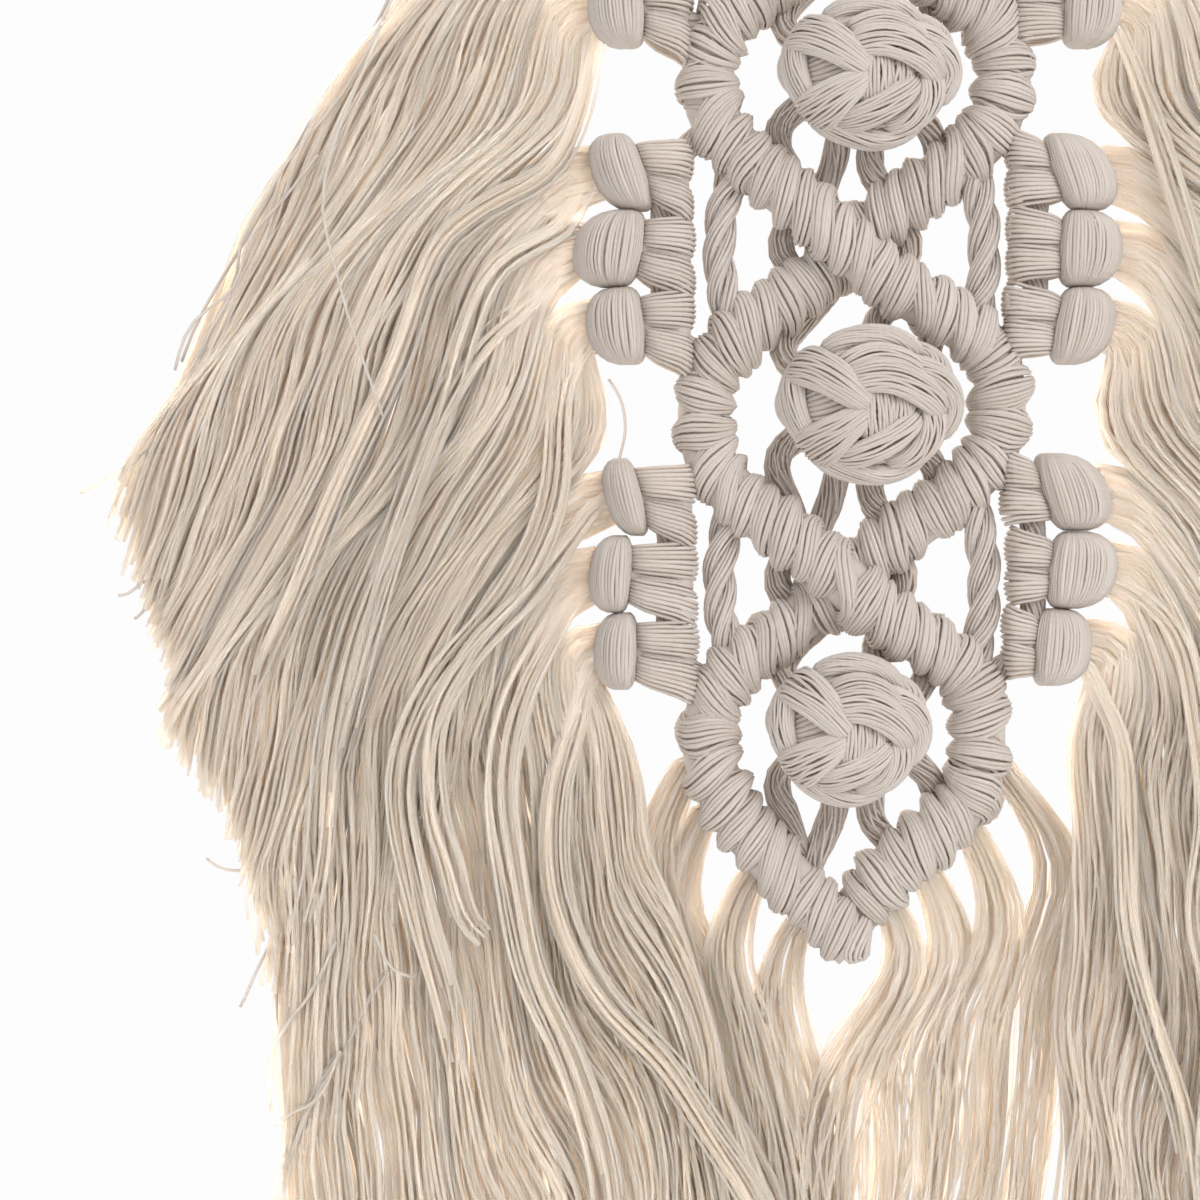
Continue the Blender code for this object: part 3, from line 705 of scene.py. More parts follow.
def ties(rng):
    """The cords behind the popcorn knots that run to the bars above and below them."""
    yarns = Yarns()
    for route in tie_routes():
        small_cord(yarns, curve_through(route, TIE_STEPS), -BACKWARDS, TIE, rng)
    yarns.piece("popcorn_ties")


# ---- twisted and side cords


def twisted_cords(rng):
    """Three twisted strands at each side of each crossing."""
    yarns = Yarns()
    shares = np.array([-1.0, -0.3, 0.4, 1.0])
    for crossing in CROSSINGS:
        for bow in BOWS:
            reach = bow.side * np.array([bow.end, bow.middle, bow.middle, bow.end])
            route = at(reach, 0.0, crossing.drop + shares * TWIST_HALF_LENGTH)
            line = Line(curve_through(route, 60))
            s = np.linspace(0.0, line.length, TWIST_STEPS)
            _, across, back = line.frame(s)
            start = rng.uniform(0.0, np.pi)
            for strand in range(TWIST_STRANDS):
                turn = start + 2 * np.pi * (strand / TWIST_STRANDS + s / TWIST_PITCH)[:, None]
                out = across * np.cos(turn) - back * np.sin(turn)
                small_cord(yarns, line.place(s) + out * STRAND_OUT, out, TWISTED, rng)
    yarns.piece("twisted_cords")


def side_cord_route(side, level, heads):
    """A side cord from the bar above its three heads to the bar below them."""
    start = HEADING_HALF - 4.0 if level == 0 else abs(ring_side(RINGS[level - 1], side)[0])
    start_drop = BAR_RADIUS if level == 0 else ring_side(RINGS[level - 1], side)[2]
    end, end_drop, _ = ring_side(RINGS[level], side)
    points = [at(side * start, 0.0, start_drop - 1.0)]
    points += [at(side * head.cord_reach, 0.0, head.drop) for head in heads]
    points.append(at(side * abs(end), 0.0, end_drop + 1.0))
    return points


def sides_and_levels():
    """Each side's heads, three to a ring."""
    for side, levels in ((-1, LEFT_HEADS), (1, RIGHT_HEADS)):
        for level, heads in enumerate(levels):
            yield side, level, heads


def side_cords(rng):
    """The plain cords that the bundles are looped on."""
    yarns = Yarns()
    for side, level, heads in sides_and_levels():
        path = curve_through(side_cord_route(side, level, heads), SIDE_CORD_STEPS)
        small_cord(yarns, path, -BACKWARDS, SIDE_CORD, rng)
    yarns.piece("side_cords")


# ---- bundle heads

# A head's half height, its inner end as a share of `out`, and how square its wraps are.
HEAD_HALF_HEIGHT = 7.4
HEAD_INNER = -0.33
HEAD_BOX = 0.72
HEAD_STEPS = 20
# Its half depth, and what that loses at a group's rims and at the crease.
HEAD_HALF_DEPTH = 6.6
HEAD_RIM_FALL = 1.9
HEAD_CREASE_FALL = 1.1
# How much nearer the groups come to the middle at the crease, and the yarns to each other.
LEVEL_LOSS = 0.26
CORD_SPREAD = 1.12
SPREAD_LOSS = 0.46
# How far the rims of a group lie back at the cord side.
SCALLOP = 1.1
# The two groups of wraps on a head: how many yarns, and how far the inner ends sink.
Group = namedtuple("Group", "yarns sink")
GROUPS = (Group(9, 1.6), Group(9, 3.0))
# Where the crease between a head's wraps and its folded loop lies, as a share of `out`, and
# how far outwards it leans, at `LEAN_HEIGHT` above the head's middle.
Crease = namedtuple("Crease", "share lean")
LEFT_CREASES = (
    rows(Crease, (0.27, -1.6), (0.26, -0.8), (0.29, 0.5)),
    rows(Crease, (0.3, 2.2), (0.24, -1.1), (0.29, 0.7)),
    rows(Crease, (0.48, 1.7), (0.5, -0.4), (0.47, -0.2)),
)
RIGHT_CREASES = (
    rows(Crease, (0.27, -1.6), (0.26, -0.8), (0.29, 0.5)),
    rows(Crease, (0.22, -2.4), (0.26, 0.2), (0.27, 1.4)),
    rows(Crease, (0.15, -2.2), (0.16, 0.8), (0.12, 0.6)),
)
LEAN_HEIGHT = 7.0
# How the wraps slope from the crease down to the cord side.
SLOPES = {-1: 1.0, 1: -0.4}
# The folded loop: its ridge as a share of its span, its depth, the angles round it that its
# yarns lie at and those that they run through, and its width at its ends.
RIDGE = 0.28
BIGHT_DEPTH = 7.6
BIGHT_ANGLES = np.radians(np.linspace(-84.0, 124.0, 209))
BIGHT_STEPS = 15
BIGHT_TURN = math.radians(112)
BIGHT_ENDS = 0.16


def boxy(values, power):
    """Sines or cosines that go round a squarer shape the smaller the power is."""
    return np.sign(values) * np.abs(values) ** power


def head_places(head, crease):
    """How far out a head's wraps start, its loop starts, and the loop's span from there."""
    inner = head.cord_reach + HEAD_INNER * head.out
    start = head.cord_reach + crease.share * head.out
    return inner, start, head.cord_reach + head.out - start


def head_wraps(yarns, side, head, crease, rng):
    """The level wraps that hold a bundle on its cord, fanned from the crease."""
    phi = np.linspace(0.0, 2 * np.pi, HEAD_STEPS, endpoint=False)
    near_crease = 0.5 + 0.5 * np.sin(phi)
    inner, start, _ = head_places(head, crease)
    for place, group in enumerate(GROUPS):
        n = group.yarns
        u = np.linspace(-1.0, 1.0, n)[:, None]
        level = (0.5 - place) * HEAD_HALF_HEIGHT * (1.0 - LEVEL_LOSS * near_crease)
        spread = u * HEAD_HALF_HEIGHT / 2 * (CORD_SPREAD - SPREAD_LOSS * near_crease)
        sink = (SLOPES[side] * group.sink + rng.normal(0.0, 0.3)) * (1.0 - near_crease)
        z = level + spread - sink + wander(rng, n, phi / (2 * np.pi), (1, 2), 0.09)
        outer = start + 0.7 + crease.lean * z / LEAN_HEIGHT
        scallop = SCALLOP * np.abs(u) ** 2.6 * (1.0 - near_crease)
        middle, half = (inner + scallop + outer) / 2, (outer - inner - scallop) / 2
        reach = middle + boxy(np.sin(phi), HEAD_BOX) * half
        full = HEAD_HALF_DEPTH - HEAD_RIM_FALL * np.abs(u) ** 2.4
        full = full - HEAD_CREASE_FALL * near_crease**3
        full = full + rng.normal(0.0, 0.12) + rng.normal(0.0, 0.06, (n, 1))
        paths = at(side * reach, -boxy(np.cos(phi), HEAD_BOX) * full, head.drop - z)
        centre = at(side * middle, 0.0, head.drop - z)
        tone = shades(rng, 0.5, 0.08, 0.14, n)
        yarns.add(paths, unit(paths - centre), tone, closed=True)


def head_bight(yarns, side, head, crease, rng):
    """The folded loop: yarns side by side that run down over the front of the bundle."""
    _, start, span = head_places(head, crease)
    ridge = start + RIDGE * span
    sines = np.sin(BIGHT_ANGLES)
    sides = np.where(sines > 0, (1 - RIDGE) * span, RIDGE * span) * sines
    rim = np.stack([sides, BIGHT_DEPTH * np.cos(BIGHT_ANGLES)], axis=1)
    along = np.concatenate([[0.0], np.cumsum(np.linalg.norm(np.diff(rim, axis=0), axis=1))])
    n = round(along[-1] / BIGHT_PITCH)
    places = np.linspace(0.0, along[-1], n) + rng.normal(0.0, 0.05, n)
    around = np.interp(places, along, BIGHT_ANGLES)[:, None]
    width = np.interp(places, along, sides)[:, None]
    down = np.linspace(BIGHT_TURN, -BIGHT_TURN, BIGHT_STEPS)
    z = HEAD_HALF_HEIGHT * boxy(np.sin(down), 0.86)
    bulged = BIGHT_ENDS + (1 - BIGHT_ENDS) * np.clip(np.cos(down), 0.0, 1.0) ** 0.85
    wobble = wander(rng, n, np.linspace(0, 1, BIGHT_STEPS), (1, 2), 0.10)
    reach = ridge + crease.lean * z / LEAN_HEIGHT + width * bulged + wobble
    front = np.where(np.cos(down) > 0, np.abs(np.cos(down)) ** 0.62, np.cos(down))
    y = -BIGHT_DEPTH * np.cos(around) * front * (1.0 + rng.normal(0.0, 0.02, (n, 1)))
    paths = at(side * reach, y, head.drop - z)
    outward = unit(paths - at(side * ridge, 0.0, head.drop))
    yarns.add(paths, outward, shades(rng, 0.55, 0.08, 0.16, n))


def head_core(yarns, side, head, crease):
    """The legs of the bundle inside its head."""
    inner, start, span = head_places(head, crease)
    reach = np.array([inner + 0.9, inner + 2.5, start - 1.0, start + 0.6])
    reach = np.append(reach, start + span * np.array([0.3, 0.55, 0.8, 0.93]))
    thick = np.array([3.4, 4.7, 3.8, 3.4, 5.2, 5.6, 4.8, 3.0])
    yarns.add(at(side * reach, 0.0, head.drop)[None], radius=thick[None], sides=14)


# ---- the fringe


def between(table, drop, column):
    """A table's values at drops, straight from row to row."""
    return np.interp(drop, [row.drop for row in table], [getattr(row, column) for row in table])


def lanes_above(heads, drop):
    """How many lanes of a side have left their heads by a drop."""
    shares = [np.clip((drop - head.drop) / HEAD_PITCH + 0.5, 0.0, 1.0) for head in heads]
    return LANES * np.sum(shares, axis=0)


Row = namedtuple("Row", "drop reach")


def inner_edge(heads, side):
    """The rows of a side's inner edge: past the heads, and by the table between them."""
    edge = [Row(head.drop, head.cord_reach + head.out + HEAD_MARGIN) for head in heads]
    edge += [Row(each.drop, each.left if side < 0 else each.right) for each in EDGES]
    return sorted(edge)


# The drops that a side's lanes are worked out at.
GRID_DROPS = np.arange(0.0, 331.0)
# How widely the lanes' bends are softened near their heads and far from them, and by how
# many lanes from the inner edge they count as far.
NEAR_BLUR = 6.5
FAR_BLUR = 15.0
FAR_LANES = 11.0


def blurred(reaches, width):
    """Each lane's reaches softened down their length."""
    reach = int(3 * width)
    kernel = np.exp(-0.5 * (np.arange(-reach, reach + 1) / width) ** 2)
    kernel /= kernel.sum()
    padded = np.pad(reaches, ((0, 0), (reach, reach)), mode="edge")
    return np.stack([np.convolve(row, kernel, mode="valid") for row in padded])


class Flow:
    """The lanes of one side of the fringe: how far out each hangs at every drop."""

    def __init__(self, heads, side):
        self.heads = heads
        inner = between(inner_edge(heads, side), GRID_DROPS, "reach")
        outer = np.maximum(between(FALLS, GRID_DROPS, "outer"), inner + 1.0)
        above = lanes_above(heads, GRID_DROPS)
        self.lanes = np.linspace(0.0, LANES * len(heads), 4 * LANES * len(heads) + 1)
        share = self.lanes[:, None] / np.maximum(above[None, :], self.lanes[:, None] + 1e-6)
        reach = outer + (inner - outer) * share
        far = smoothed((above[None, :] - self.lanes[:, None]) / FAR_LANES)
        near_rows = blurred(reach, NEAR_BLUR)
        self.reach = near_rows + (blurred(reach, FAR_BLUR) - near_rows) * far

    def at(self, lane, drop):
        """The reach of lanes at drops, both arrays of one shape."""
        a = np.clip(lane / self.lanes[1], 0.0, len(self.lanes) - 1.001)
        b = np.clip(drop, 0.0, GRID_DROPS[-1] - 0.001)
        i, j = a.astype(int), b.astype(int)
        u, v = a - i, b - j
        grid = self.reach
        low = grid[i, j] * (1 - v) + grid[i, j + 1] * v
        high = grid[i + 1, j] * (1 - v) + grid[i + 1, j + 1] * v
        return low * (1 - u) + high * u


def belly(reach, drop):
    """How far the fringe stands forward of the wall side at a place."""
    across = np.clip((reach - BELLY_START) / BELLY_WIDTH, 0.0, 1.0)
    down = np.clip(drop / BOTTOM_DROP, 0.0, 1.0)
    return -FULLNESS * np.sin(np.pi * across) * np.sin(np.pi * down)


# Slow waves that neighbouring yarns share: the drop and the lanes from crest to crest, how
# much the depth shifts them, and their size.
Wave = namedtuple("Wave", "length lanes depth size phase")
WAVE_SIZES = ((118.0, 1.9), (84.0, 1.5), (61.0, 1.0), (37.0, 0.45), (26.0, 0.25))
# How much of the waves the front and the back yarns take.
SWING_DEPTHS = (-5.0, 4.0)
SWINGS = (1.25, 0.55)


def shared_waves(rng):
    """The waves of one side of the fringe."""
    return [
        Wave(
            length * rng.uniform(0.9, 1.1),
            length / rng.uniform(5.0, 9.0),
            rng.uniform(-0.10, 0.10),
            size,
            rng.uniform(0.0, 1.0),
        )
        for length, size in WAVE_SIZES
    ]


def sway(waves, lane, drop, depth):
    """How far the yarns of a place hang aside; the front ones swing furthest."""
    turns = [drop / w.length + lane / w.lanes + depth * w.depth + w.phase for w in waves]
    swung = sum(w.size * np.sin(2 * np.pi * turn) for w, turn in zip(waves, turns))
    return swung * np.interp(depth, SWING_DEPTHS, SWINGS)


def lane_end(flow, lane, start, ragged):
    """The drops where lanes meet the trimmed edge or the fringe's lower end."""
    drops = start[:, None] + SHORTEST + np.arange(0.0, BOTTOM_DROP)
    reach = flow.at(np.broadcast_to(lane[:, None], drops.shape), drops)
    past = reach + ragged[:, None] * 0.5 > between(FALLS, drops, "trimmed")
    past |= drops > BOTTOM_DROP - BOTTOM_RISE * reach + ragged[:, None]
    return drops[np.arange(len(lane)), np.argmax(past, axis=1)]


# A bundle's yarns in the back and in the front: how many, how deep they hang and how
# finely they are drawn, and their size.
Layer = namedtuple("Layer", "yarns back front steps radius")
LAYERS = (Layer(60, 2.8, -0.6, 17, 0.54), Layer(66, -0.6, -3.0, 30, 0.36))
# The share of a head's height that its yarns leave it in, and how far they fall before they
# hang free and before they hang at their own depth.
LEAVING = 0.9
FREE_FALL = 40.0
DEPTH_FALL = 30.0
# A yarn's last three points inside its head: from the head's outer end, and the shares of
# its height there.
ROOTS = np.array([-6.0, -3.2, -0.8])
ROOT_HEIGHTS = np.array([0.62, 0.72, 0.86])
# The tone at the fringe's middle depth; how much deeper yarns lose, which makes the back yarns
# lighter as painted light in the gaps and the front ones darker as painted shade; the lanes' own
# change; and what each side adds, painted shade that darkens the right side under the key light.
FRINGE_TONE = 0.45
PAINTED_LIGHT_BY_DEPTH = 0.12
TONE_BY_LANE = 0.12
SIDE_PAINTED_SHADES = {-1: 0.08, 1: 0.85}


def bundle_fringe(yarns, flow, waves, side, number, layer, rng):
    """Yarns of a bundle, from inside its head out and down the flow of the fringe."""
    head = flow.heads[number]
    n = layer.yarns
    place = (np.arange(n) + rng.uniform(0.0, 1.0, n)) / n
    lane = LANES * (number + place)
    depth = rng.permutation(np.linspace(layer.back, layer.front, n))
    height = np.clip(place - 0.5 + rng.normal(0.0, 0.09, n), -0.47, 0.47)
    sunk = HEAD_PITCH * LEAVING * height
    start = head.drop + sunk
    ragged = np.clip(rng.normal(0.0, 3.0, n), -8.0, 6.0)
    end = lane_end(flow, lane, start, ragged)

    share = np.linspace(0.0, 1.0, layer.steps)
    drop = start[:, None] + 1.2 + (end - start - 1.2)[:, None] * share**1.15
    lanes = np.broadcast_to(lane[:, None], drop.shape)
    fallen = drop - start[:, None]
    free = smoothed(fallen / FREE_FALL)
    reach = flow.at(lanes, drop) + free * sway(waves, lanes, drop, depth[:, None])
    reach = reach + free * wander(rng, n, share, (1, 2, 4), 0.75)
    y = depth[:, None] * (0.35 + 0.65 * smoothed(fallen / DEPTH_FALL)) + 0.8
    y = y + free * wander(rng, n, share, (1, 2, 3), 0.5) + belly(reach, drop)

    root = head.cord_reach + head.out + ROOTS
    inside = at(side * root, y[:, :1] * 0.7 + 0.6, head.drop + sunk[:, None] * ROOT_HEIGHTS)
    paths = np.concatenate([inside, at(side * reach, y, drop)], axis=1)
    paths[:, 3] = (paths[:, 2] + paths[:, 4]) / 2 + np.array([side * 0.6, 0.0, 0.9])
    # Deeper yarns get a lighter tone and nearer ones a darker tone: painted light and painted
    # shade.
    tone = FRINGE_TONE - PAINTED_LIGHT_BY_DEPTH * depth + TONE_BY_LANE * np.sin(lane * 5.1 + depth)
    # Each side's added tone, which darkens the right side as painted shade against the key light.
    tone = tone + rng.normal(0.0, 0.14, n) + SIDE_PAINTED_SHADES[side]
    thick = layer.radius * rng.uniform(0.86, 1.10, (n, 1))
    yarns.add(paths, BACKWARDS, np.clip(tone, 0.0, 1.0), thick, 3, FRINGE_LOOK)


# Locks that fall over the front of the fringe, and single yarns that stray: their side and
# bundle, how many yarns, half their width, their depth, and their way's reaches and drops.
Lock = namedtuple("Lock", "side bundle yarns half depth reaches drops")
LOCKS = rows(
    Lock,
    (-1, 3, 14, 3, -5, (52, 56, 62, 75, 84, 92, 104, 113, 124), (57, 75, 87, 95, 103, 125, 151,
        173, 196)),
    (-1, 4, 14, 2.6, -5.2, (54, 60, 66, 73, 78, 84, 90, 97, 103, 106), (88, 98, 101, 106, 116,
        136, 151, 173, 196, 214)),
    (-1, 5, 14, 2.8, -5.4, (57, 66, 76, 84, 92, 101, 106, 108, 112), (102, 112, 121, 134, 156,
        178, 200, 224, 240)),
    (-1, 6, 16, 3, -5.6, (54, 60, 62, 70, 86, 92, 88, 83, 79), (119, 130, 152, 170, 190, 208,
        232, 250, 268)),
    (-1, 7, 16, 2.6, -6.4, (52, 58, 66, 78, 85, 85, 82, 79, 74, 69), (152, 159, 170, 183, 197,
        214, 224, 235, 240, 241)),
    (-1, 8, 14, 3, -5.6, (55, 62, 69, 72, 70, 66, 58, 52, 50), (168, 178, 192, 208, 226, 246,
        264, 284, 304)),
    (-1, 9, 18, 3.4, -5.4, (53, 57, 61, 60, 52, 39, 31, 21, 14), (184, 196, 212, 232, 250, 264,
        276, 292, 312)),
    (1, 3, 10, 2.4, -4.4, (50, 56, 62, 68, 75, 84), (56, 72, 92, 112, 140, 170)),
    (1, 8, 14, 2.6, -5.4, (50, 57, 63, 66, 68, 66, 70, 68, 70), (168, 172, 180, 196, 215, 235,
        255, 285, 304)),
    (1, 9, 14, 2.6, -5, (44, 47, 51, 52, 53, 58, 63, 67), (184, 190, 200, 218, 238, 258, 274,
        300)),
    (-1, 1, 1, 0, -6, (96, 107, 103, 98, 92), (60, 90, 110, 128, 148)),
    (-1, 2, 1, 0, -3, (108, 115, 123, 125, 133, 138), (84, 93, 101, 110, 118, 130)),
    (-1, 2, 2, 0.6, -2, (130, 139, 143, 149, 154, 159), (122, 139, 143, 147, 150, 152)),
    (-1, 3, 1, 0, -1, (136, 141, 146, 151), (160, 167, 170, 172)),
    (-1, 3, 1, 0, 1, (134, 140, 144, 148), (162, 170, 174, 177)),
    (-1, 4, 1, 0, 0, (114, 120, 127, 134), (216, 224, 226, 222)),
    (-1, 5, 1, 0, 1, (112, 117, 122, 126), (222, 238, 248, 255)),
    (-1, 1, 1, 0, -1, (92, 95, 102, 109, 118, 124, 132, 136, 139), (46, 53, 66, 75, 92, 102,
        115, 125, 138)),
    (-1, 1, 1, 0, -2, (90, 100, 106, 112, 119, 124, 124, 128, 135), (44, 65, 76, 82, 92, 101,
        110, 116, 130)),
    (-1, 1, 1, 0, 0, (96, 104, 108, 116, 121, 127, 133, 140), (62, 80, 85, 98, 112, 124, 134,
        142)),
    (-1, 2, 1, 0, 1, (99, 107, 115, 122, 130, 137), (66, 79, 93, 107, 121, 136)),
    (-1, 5, 1, 0, 1, (114, 117, 117, 115), (232, 244, 252, 262)),
    (-1, 6, 2, 1, -2, (104, 111, 117, 118, 117), (240, 252, 261, 267, 276)),
    (-1, 6, 2, 1.4, -3, (103, 109, 115, 119), (262, 272, 276, 279)),
    (-1, 6, 2, 1.2, -1, (101, 108, 113, 118), (256, 270, 280, 290)),
    (-1, 7, 2, 1.4, -2, (94, 100, 108, 114, 117), (246, 256, 270, 285, 297)),
    (-1, 7, 1, 0, -5.5, (97, 94, 90, 86), (238, 244, 247, 247)),
    (-1, 6, 1, 0, -1, (51, 48, 47, 49, 51), (128, 134, 139, 145, 150)),
)
LOCK_STEPS = 34
STRAY_STEPS = 16
LOCK_ROOT = -5.0
# How much of a lock's way it takes to hang free, and how thick it is.
LOCK_FREE = 0.3
LOCK_HALF_DEPTH = 1.2
# Single yarns in front of this depth lie over the fringe; the others show against the light and
# are given the knotted cord's darker material, as painted shade.
OVER_FRINGE = -5.0


def fringe_lock(yarns, flow, lock, rng):
    """One of the locks in front, or a stray yarn."""
    head = flow.heads[lock.bundle - 1]
    n = lock.yarns
    rooted = n > 2
    k = LOCK_STEPS if rooted else STRAY_STEPS
    way = list(at(lock.side * np.array(lock.reaches), 0.0, lock.drops))
    if rooted:
        root = head.cord_reach + head.out + LOCK_ROOT
        way.insert(0, at(lock.side * root, 0.0, lock.drops[0]))
    route = curve_through(way, k)
    share = np.linspace(0.0, 1.0, k)
    free = smoothed(share / LOCK_FREE) if rooted else np.ones(k)
    aside = unit(np.gradient(route, axis=0)) @ ACROSS
    place = rng.uniform(-1.0, 1.0, (n, 1))
    spread = lock.half * (0.7 + 0.3 * free) * place + free * wander(rng, n, share, (1, 2), 0.5)
    round_depth = rng.uniform(-1.0, 1.0, (n, 1)) * np.sqrt(1.01 - place**2)
    depth = lock.depth + LOCK_HALF_DEPTH * round_depth
    y = depth * free + 0.4 + belly(np.abs(route[:, 0]), -route[:, 2]) * free
    paths = route + spread[..., None] * aside
    paths[..., 1] = y + free * wander(rng, n, share, (1, 2), 0.3)
    ends = rng.uniform(0.86, 1.0, n)
    paths = np.stack([evenly(path[: int(k * end)], k) for path, end in zip(paths, ends)])
    tone = np.clip(rng.normal(0.75, 0.2, n), 0.0, 1.0)
    # Single yarns behind the front of the fringe take the darker knotted material as painted
    # shade.
    look = KNOT_LOOK if n == 1 and lock.depth > OVER_FRINGE else FRINGE_LOOK
    yarns.add(paths, BACKWARDS, tone, FRINGE_RADIUS, 3, look)


def fringe_bundles(rng):
    """The eighteen bundles, each with its head, its fall and its locks."""
    for side, levels, folds, word in (
        (-1, LEFT_HEADS, LEFT_CREASES, "left"),
        (1, RIGHT_HEADS, RIGHT_CREASES, "right"),
    ):
        heads = [head for level in levels for head in level]
        creases = [crease for level in folds for crease in level]
        flow = Flow(heads, side)
        waves = shared_waves(rng)
        for number, (head, crease) in enumerate(zip(heads, creases)):
            yarns = Yarns()
            head_core(yarns, side, head, crease)
            head_wraps(yarns, side, head, crease, rng)
            head_bight(yarns, side, head, crease, rng)
            for layer in LAYERS:
                bundle_fringe(yarns, flow, waves, side, number, layer, rng)
            for lock in LOCKS:
                if (lock.side, lock.bundle) == (side, number + 1):
                    fringe_lock(yarns, flow, lock, rng)
            name = f"fringe_{word}_{number + 1}"
            yarns.piece(f"yarn_{name}", name)


TAIL_YARNS = 66
TAIL_STEPS = 20
# Below this drop the two cords' ends have unwrapped.
UNWRAPPED = 200.0
# The tails' half widths, at their roots and what they gain by a share of their length.
TAIL_HALF_WIDTH = 3.3
TAIL_WIDENING = 3.5
TAIL_WIDE_BY = 0.55
TAIL_FREE = 0.4
TAIL_HALF_DEPTH = 1.5
TAIL_DEEPENING = 1.3
LAST_RUN = 26.0


def lower_fringe(rng):
    """The cords' unwrapped ends under the last ring."""
    yarns = Yarns()
    lines = [Line(curve_through(strand_route(side), 300)) for side in (-1, 1)]
    share = np.linspace(0.0, 1.0, TAIL_STEPS)
    n = TAIL_YARNS
    for number, tail in enumerate(TAILS):
        line = lines[1] if tail.x < LEFT_END.x else lines[0]
        low = line.places[line.places[:, 2] < -UNWRAPPED]
        root = low[np.argmin(np.abs(low[:, 0] - tail.x))]
        depth = TAIL_DEPTHS[number % 2]
        outwards = math.copysign(1.0, tail.x - LEFT_END.x)
        middle_x = (tail.turn_x + tail.end_x) / 2 + rng.normal(0, 1.6)
        route = [
            root + np.array([-outwards * 1.5, 3.2, -1.0]),
            root + np.array([outwards * 3.6, depth - 2.0, -4.2]),
            at(tail.bow_x, depth - 1.0, tail.bow_drop),
            at(tail.turn_x, depth, tail.turn_drop),
            at(middle_x, depth, tail.turn_drop + LAST_RUN),
            at(tail.end_x, depth, tail.end_drop),
        ]
        x, y, z = curve_through(route, TAIL_STEPS).T
        aside = rng.uniform(-1.0, 1.0, (n, 1))
        deep = rng.uniform(-1.0, 1.0, (n, 1)) * np.sqrt(1.0 - aside**2)
        spread = TAIL_HALF_WIDTH + TAIL_WIDENING * smoothed(share / TAIL_WIDE_BY)
        free = smoothed(share / TAIL_FREE)
        x = x + aside * spread + free * wander(rng, n, share, (1.5, 3), 1.3)
        y = y + deep * (TAIL_HALF_DEPTH + TAIL_DEEPENING * free)
        y = y + free * wander(rng, n, share, (2, 3), 0.4)
        ends = rng.uniform(0.94, 1.0, (n, 1))
        z = z[0] + (z - z[0]) * (1 - share * (1 - ends))
        tone = np.clip(rng.normal(0.95, 0.3, n), 0.0, 1.4)
        yarns.add(at(x, y, -z), BACKWARDS, tone, FRINGE_RADIUS, 3, FRINGE_LOOK)
    yarns.piece("yarn_fringe_bottom", "fringe_bottom")


# ---- materials


# Cotton's colours at a tone of 0 and of 1, the colour of the light that comes through it and
# its share, and how much light wanders between neighbouring yarns, and how far in metres.
Look = namedtuple("Look", "low high glow through soft reach")
KNOTTED = Look(
    (0.69, 0.62, 0.565, 1.0), (0.81, 0.755, 0.71, 1.0), (0.92, 0.82, 0.72, 1.0), 0.28, 0.0, 0.002
)
FRINGE = Look(
    (0.99, 0.955, 0.90, 1.0), (0.82, 0.79, 0.76, 1.0), (0.99, 0.93, 0.855, 1.0), 0.67, 0.92, 0.0022
)
SOFT_REACH = (1.0, 0.82, 0.66)
ROUGHNESS = 0.78
# The faint mottling of the yarns, to the metre, and how much of a tone it is.
MOTTLE_SCALE = 160.0
MOTTLE = 0.5
# A yarn's two plies: the length in mm of one turn, their height in metres, and the scale of
# the wave texture that gives one band to a turn.
PLIES = 2
PLY_PITCH = 2.8
PLY_HEIGHT = 0.00008
PLY_STRENGTH = 0.35
ONE_BAND = math.pi / 10


class Shader:
    """A material and its nodes."""

    def __init__(self, name):
        self.material = bpy.data.materials.new(name)
        self.material.use_nodes = True
        self.material.node_tree.nodes.clear()

    def add(self, kind, inputs, **settings):
        """A new node with its settings and inputs, each a value or a socket."""
        tree = self.material.node_tree
        node = tree.nodes.new("ShaderNode" + kind)
        for name, value in settings.items():
            setattr(node, name, value)
        for key, value in inputs.items():
            if isinstance(value, bpy.types.NodeSocket):
                tree.links.new(value, node.inputs[key])
            else:
                node.inputs[key].default_value = value
        return node


def yarn_colour(shader, look):
    """Each yarn's own shade, faintly mottled."""
    tone = shader.add("Attribute", {}, attribute_name="tone").outputs["Fac"]
    place = shader.add("TexCoord", {}).outputs["Object"]
    mottle = shader.add("TexNoise", {"Vector": place, "Scale": MOTTLE_SCALE, "Detail": 1.0})
    shade = shader.add(
        "Math", {0: mottle.outputs["Fac"], 1: MOTTLE, 2: tone}, operation="MULTIPLY_ADD"
    )
    level = shader.add(
        "Math", {0: shade.outputs[0], 1: MOTTLE / 2}, operation="SUBTRACT", use_clamp=True
    )
    inputs = {"Factor": level.outputs[0], 6: look.low, 7: look.high}
    return shader.add("Mix", inputs, data_type="RGBA").outputs[2]


def yarn_relief(shader):
    """The faint twist of each yarn's plies."""
    around = shader.add("UVMap", {}, uv_map="Yarn").outputs["UV"]
    spun = shader.add(
        "VectorMath", {0: around, 1: (1.0, 1.0 / PLY_PITCH, 0.0)}, operation="DOT_PRODUCT"
    )
    ply = shader.add(
        "TexWave",
        {"Vector": spun.outputs["Value"], "Scale": PLIES * ONE_BAND, "Distortion": 0.0},
        wave_type="BANDS",
        bands_direction="X",
    )
    inputs = {"Height": ply.outputs["Fac"], "Strength": PLY_STRENGTH, "Distance": PLY_HEIGHT}
    return shader.add("Bump", inputs).outputs["Normal"]


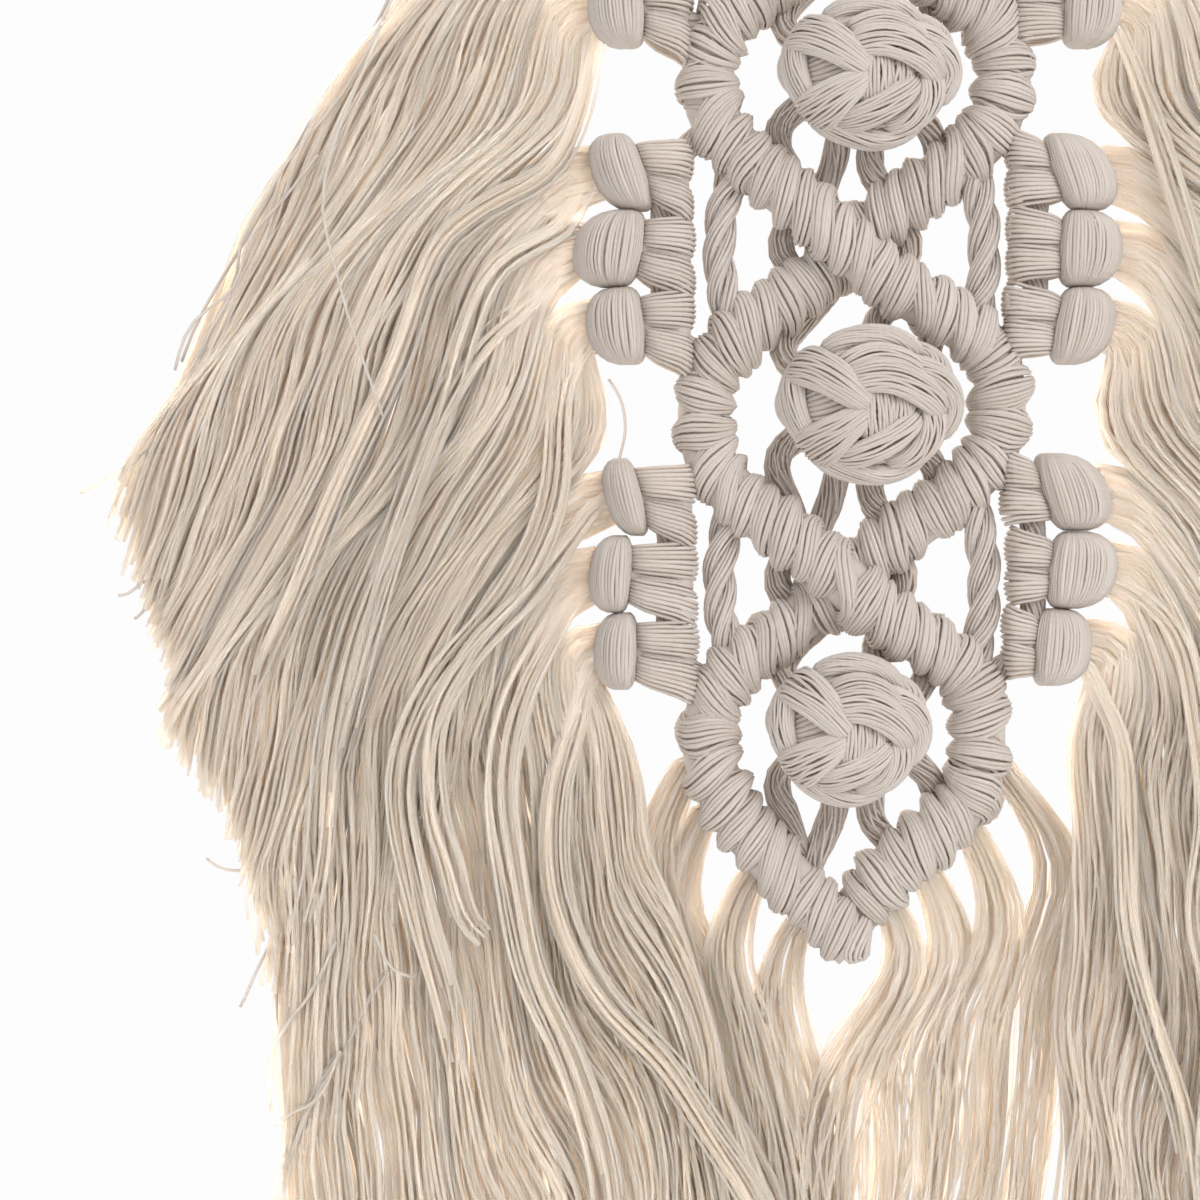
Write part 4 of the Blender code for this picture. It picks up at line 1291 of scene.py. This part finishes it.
def cotton(name, look):
    """Matte cotton yarn that lets some light by."""
    shader = Shader(name)
    relief = yarn_relief(shader)
    cloth = shader.add(
        "BsdfPrincipled",
        {
            "Base Color": yarn_colour(shader, look),
            "Roughness": ROUGHNESS,
            "Specular IOR Level": 0.0,
            "Subsurface Weight": look.soft,
            "Subsurface Radius": SOFT_REACH,
            "Subsurface Scale": look.reach,
            "Normal": relief,
        },
        subsurface_method="BURLEY",
    )
    behind = shader.add("BsdfTranslucent", {"Color": look.glow, "Normal": relief})
    both = shader.add("MixShader", {0: look.through, 1: cloth.outputs[0], 2: behind.outputs[0]})
    shader.add("OutputMaterial", {"Surface": both.outputs[0]})
    return shader.material


# ---- the studio

# The middle of the view and its side, in millimetres of the part.
VIEW_X = -52.4
VIEW_DROP = 172.0
VIEW_SIDE = 240.0
LENS = 100.0
SENSOR = 36.0
# The lights' places, aims and sizes in metres, and the floor's place.
Light = namedtuple("Light", "name place aim size power colour")
LIGHTS = (
    Light("key", (0.9, -1.2, 0.7), (0.0, 0.0, -0.16), 0.8, 12.0, (1.0, 1.0, 1.0)),
    Light("back", (-0.5, 1.3, 0.4), (-0.05, 0.0, -0.16), 1.2, 30.0, (1.0, 0.93, 0.84)),
)
WHITE = (1.0, 1.0, 1.0, 1.0)
SKY_STRENGTH = 0.98
FLOOR_PLACE = (0.0, 0.0, -0.42)
FLOOR_COLOUR = (0.9, 0.9, 0.9, 1.0)


def camera():
    """A level view from the front, as in the photograph."""
    data = bpy.data.cameras.new("camera")
    data.lens = LENS
    data.sensor_width = SENSOR
    data.dof.use_dof = False
    obj = bpy.data.objects.new("camera", data)
    obj.location = Vector(at(VIEW_X, -VIEW_SIDE * LENS / SENSOR, VIEW_DROP)) * MM
    obj.rotation_euler = (math.radians(90), 0.0, 0.0)
    bpy.context.scene.collection.objects.link(obj)
    bpy.context.scene.camera = obj


def soft_light(light):
    """A round area light turned to its aim."""
    data = bpy.data.lights.new(light.name, "AREA")
    data.shape = "DISK"
    data.size = light.size
    data.energy = light.power
    data.color = light.colour
    obj = bpy.data.objects.new(light.name, data)
    obj.location = light.place
    way = Vector(light.aim) - Vector(light.place)
    obj.rotation_euler = way.to_track_quat("-Z", "Y").to_euler()
    bpy.context.scene.collection.objects.link(obj)


def studio():
    """White surroundings, a pale floor, and soft light from the front and through the yarns."""
    scene = bpy.context.scene
    world = bpy.data.worlds.new("white_surroundings")
    world.use_nodes = True
    sky = world.node_tree.nodes["Background"]
    sky.inputs["Color"].default_value = WHITE
    sky.inputs["Strength"].default_value = SKY_STRENGTH
    scene.world = world
    scene.cycles.diffuse_bounces = 4
    scene.cycles.transmission_bounces = 5
    scene.view_settings.view_transform = "Standard"
    scene.view_settings.look = "None"

    bpy.ops.mesh.primitive_plane_add(size=1.0, location=FLOOR_PLACE)
    floor = bpy.context.object
    floor.name = "floor"
    pale = bpy.data.materials.new("floor_white")
    pale.use_nodes = True
    surface = pale.node_tree.nodes["Principled BSDF"]
    surface.inputs["Base Color"].default_value = FLOOR_COLOUR
    surface.inputs["Roughness"].default_value = 0.9
    floor.data.materials.append(pale)
    for light in LIGHTS:
        soft_light(light)


def main():
    rng = np.random.default_rng(7129)
    Yarns.materials = (cotton("knotted_cord", KNOTTED), cotton("fringe_yarn", FRINGE))
    bars(rng)
    for number, berry in enumerate(BERRIES, 1):
        popcorn_knot(number, berry, rng)
    ties(rng)
    twisted_cords(rng)
    side_cords(rng)
    fringe_bundles(rng)
    lower_fringe(rng)
    camera()
    studio()


main()
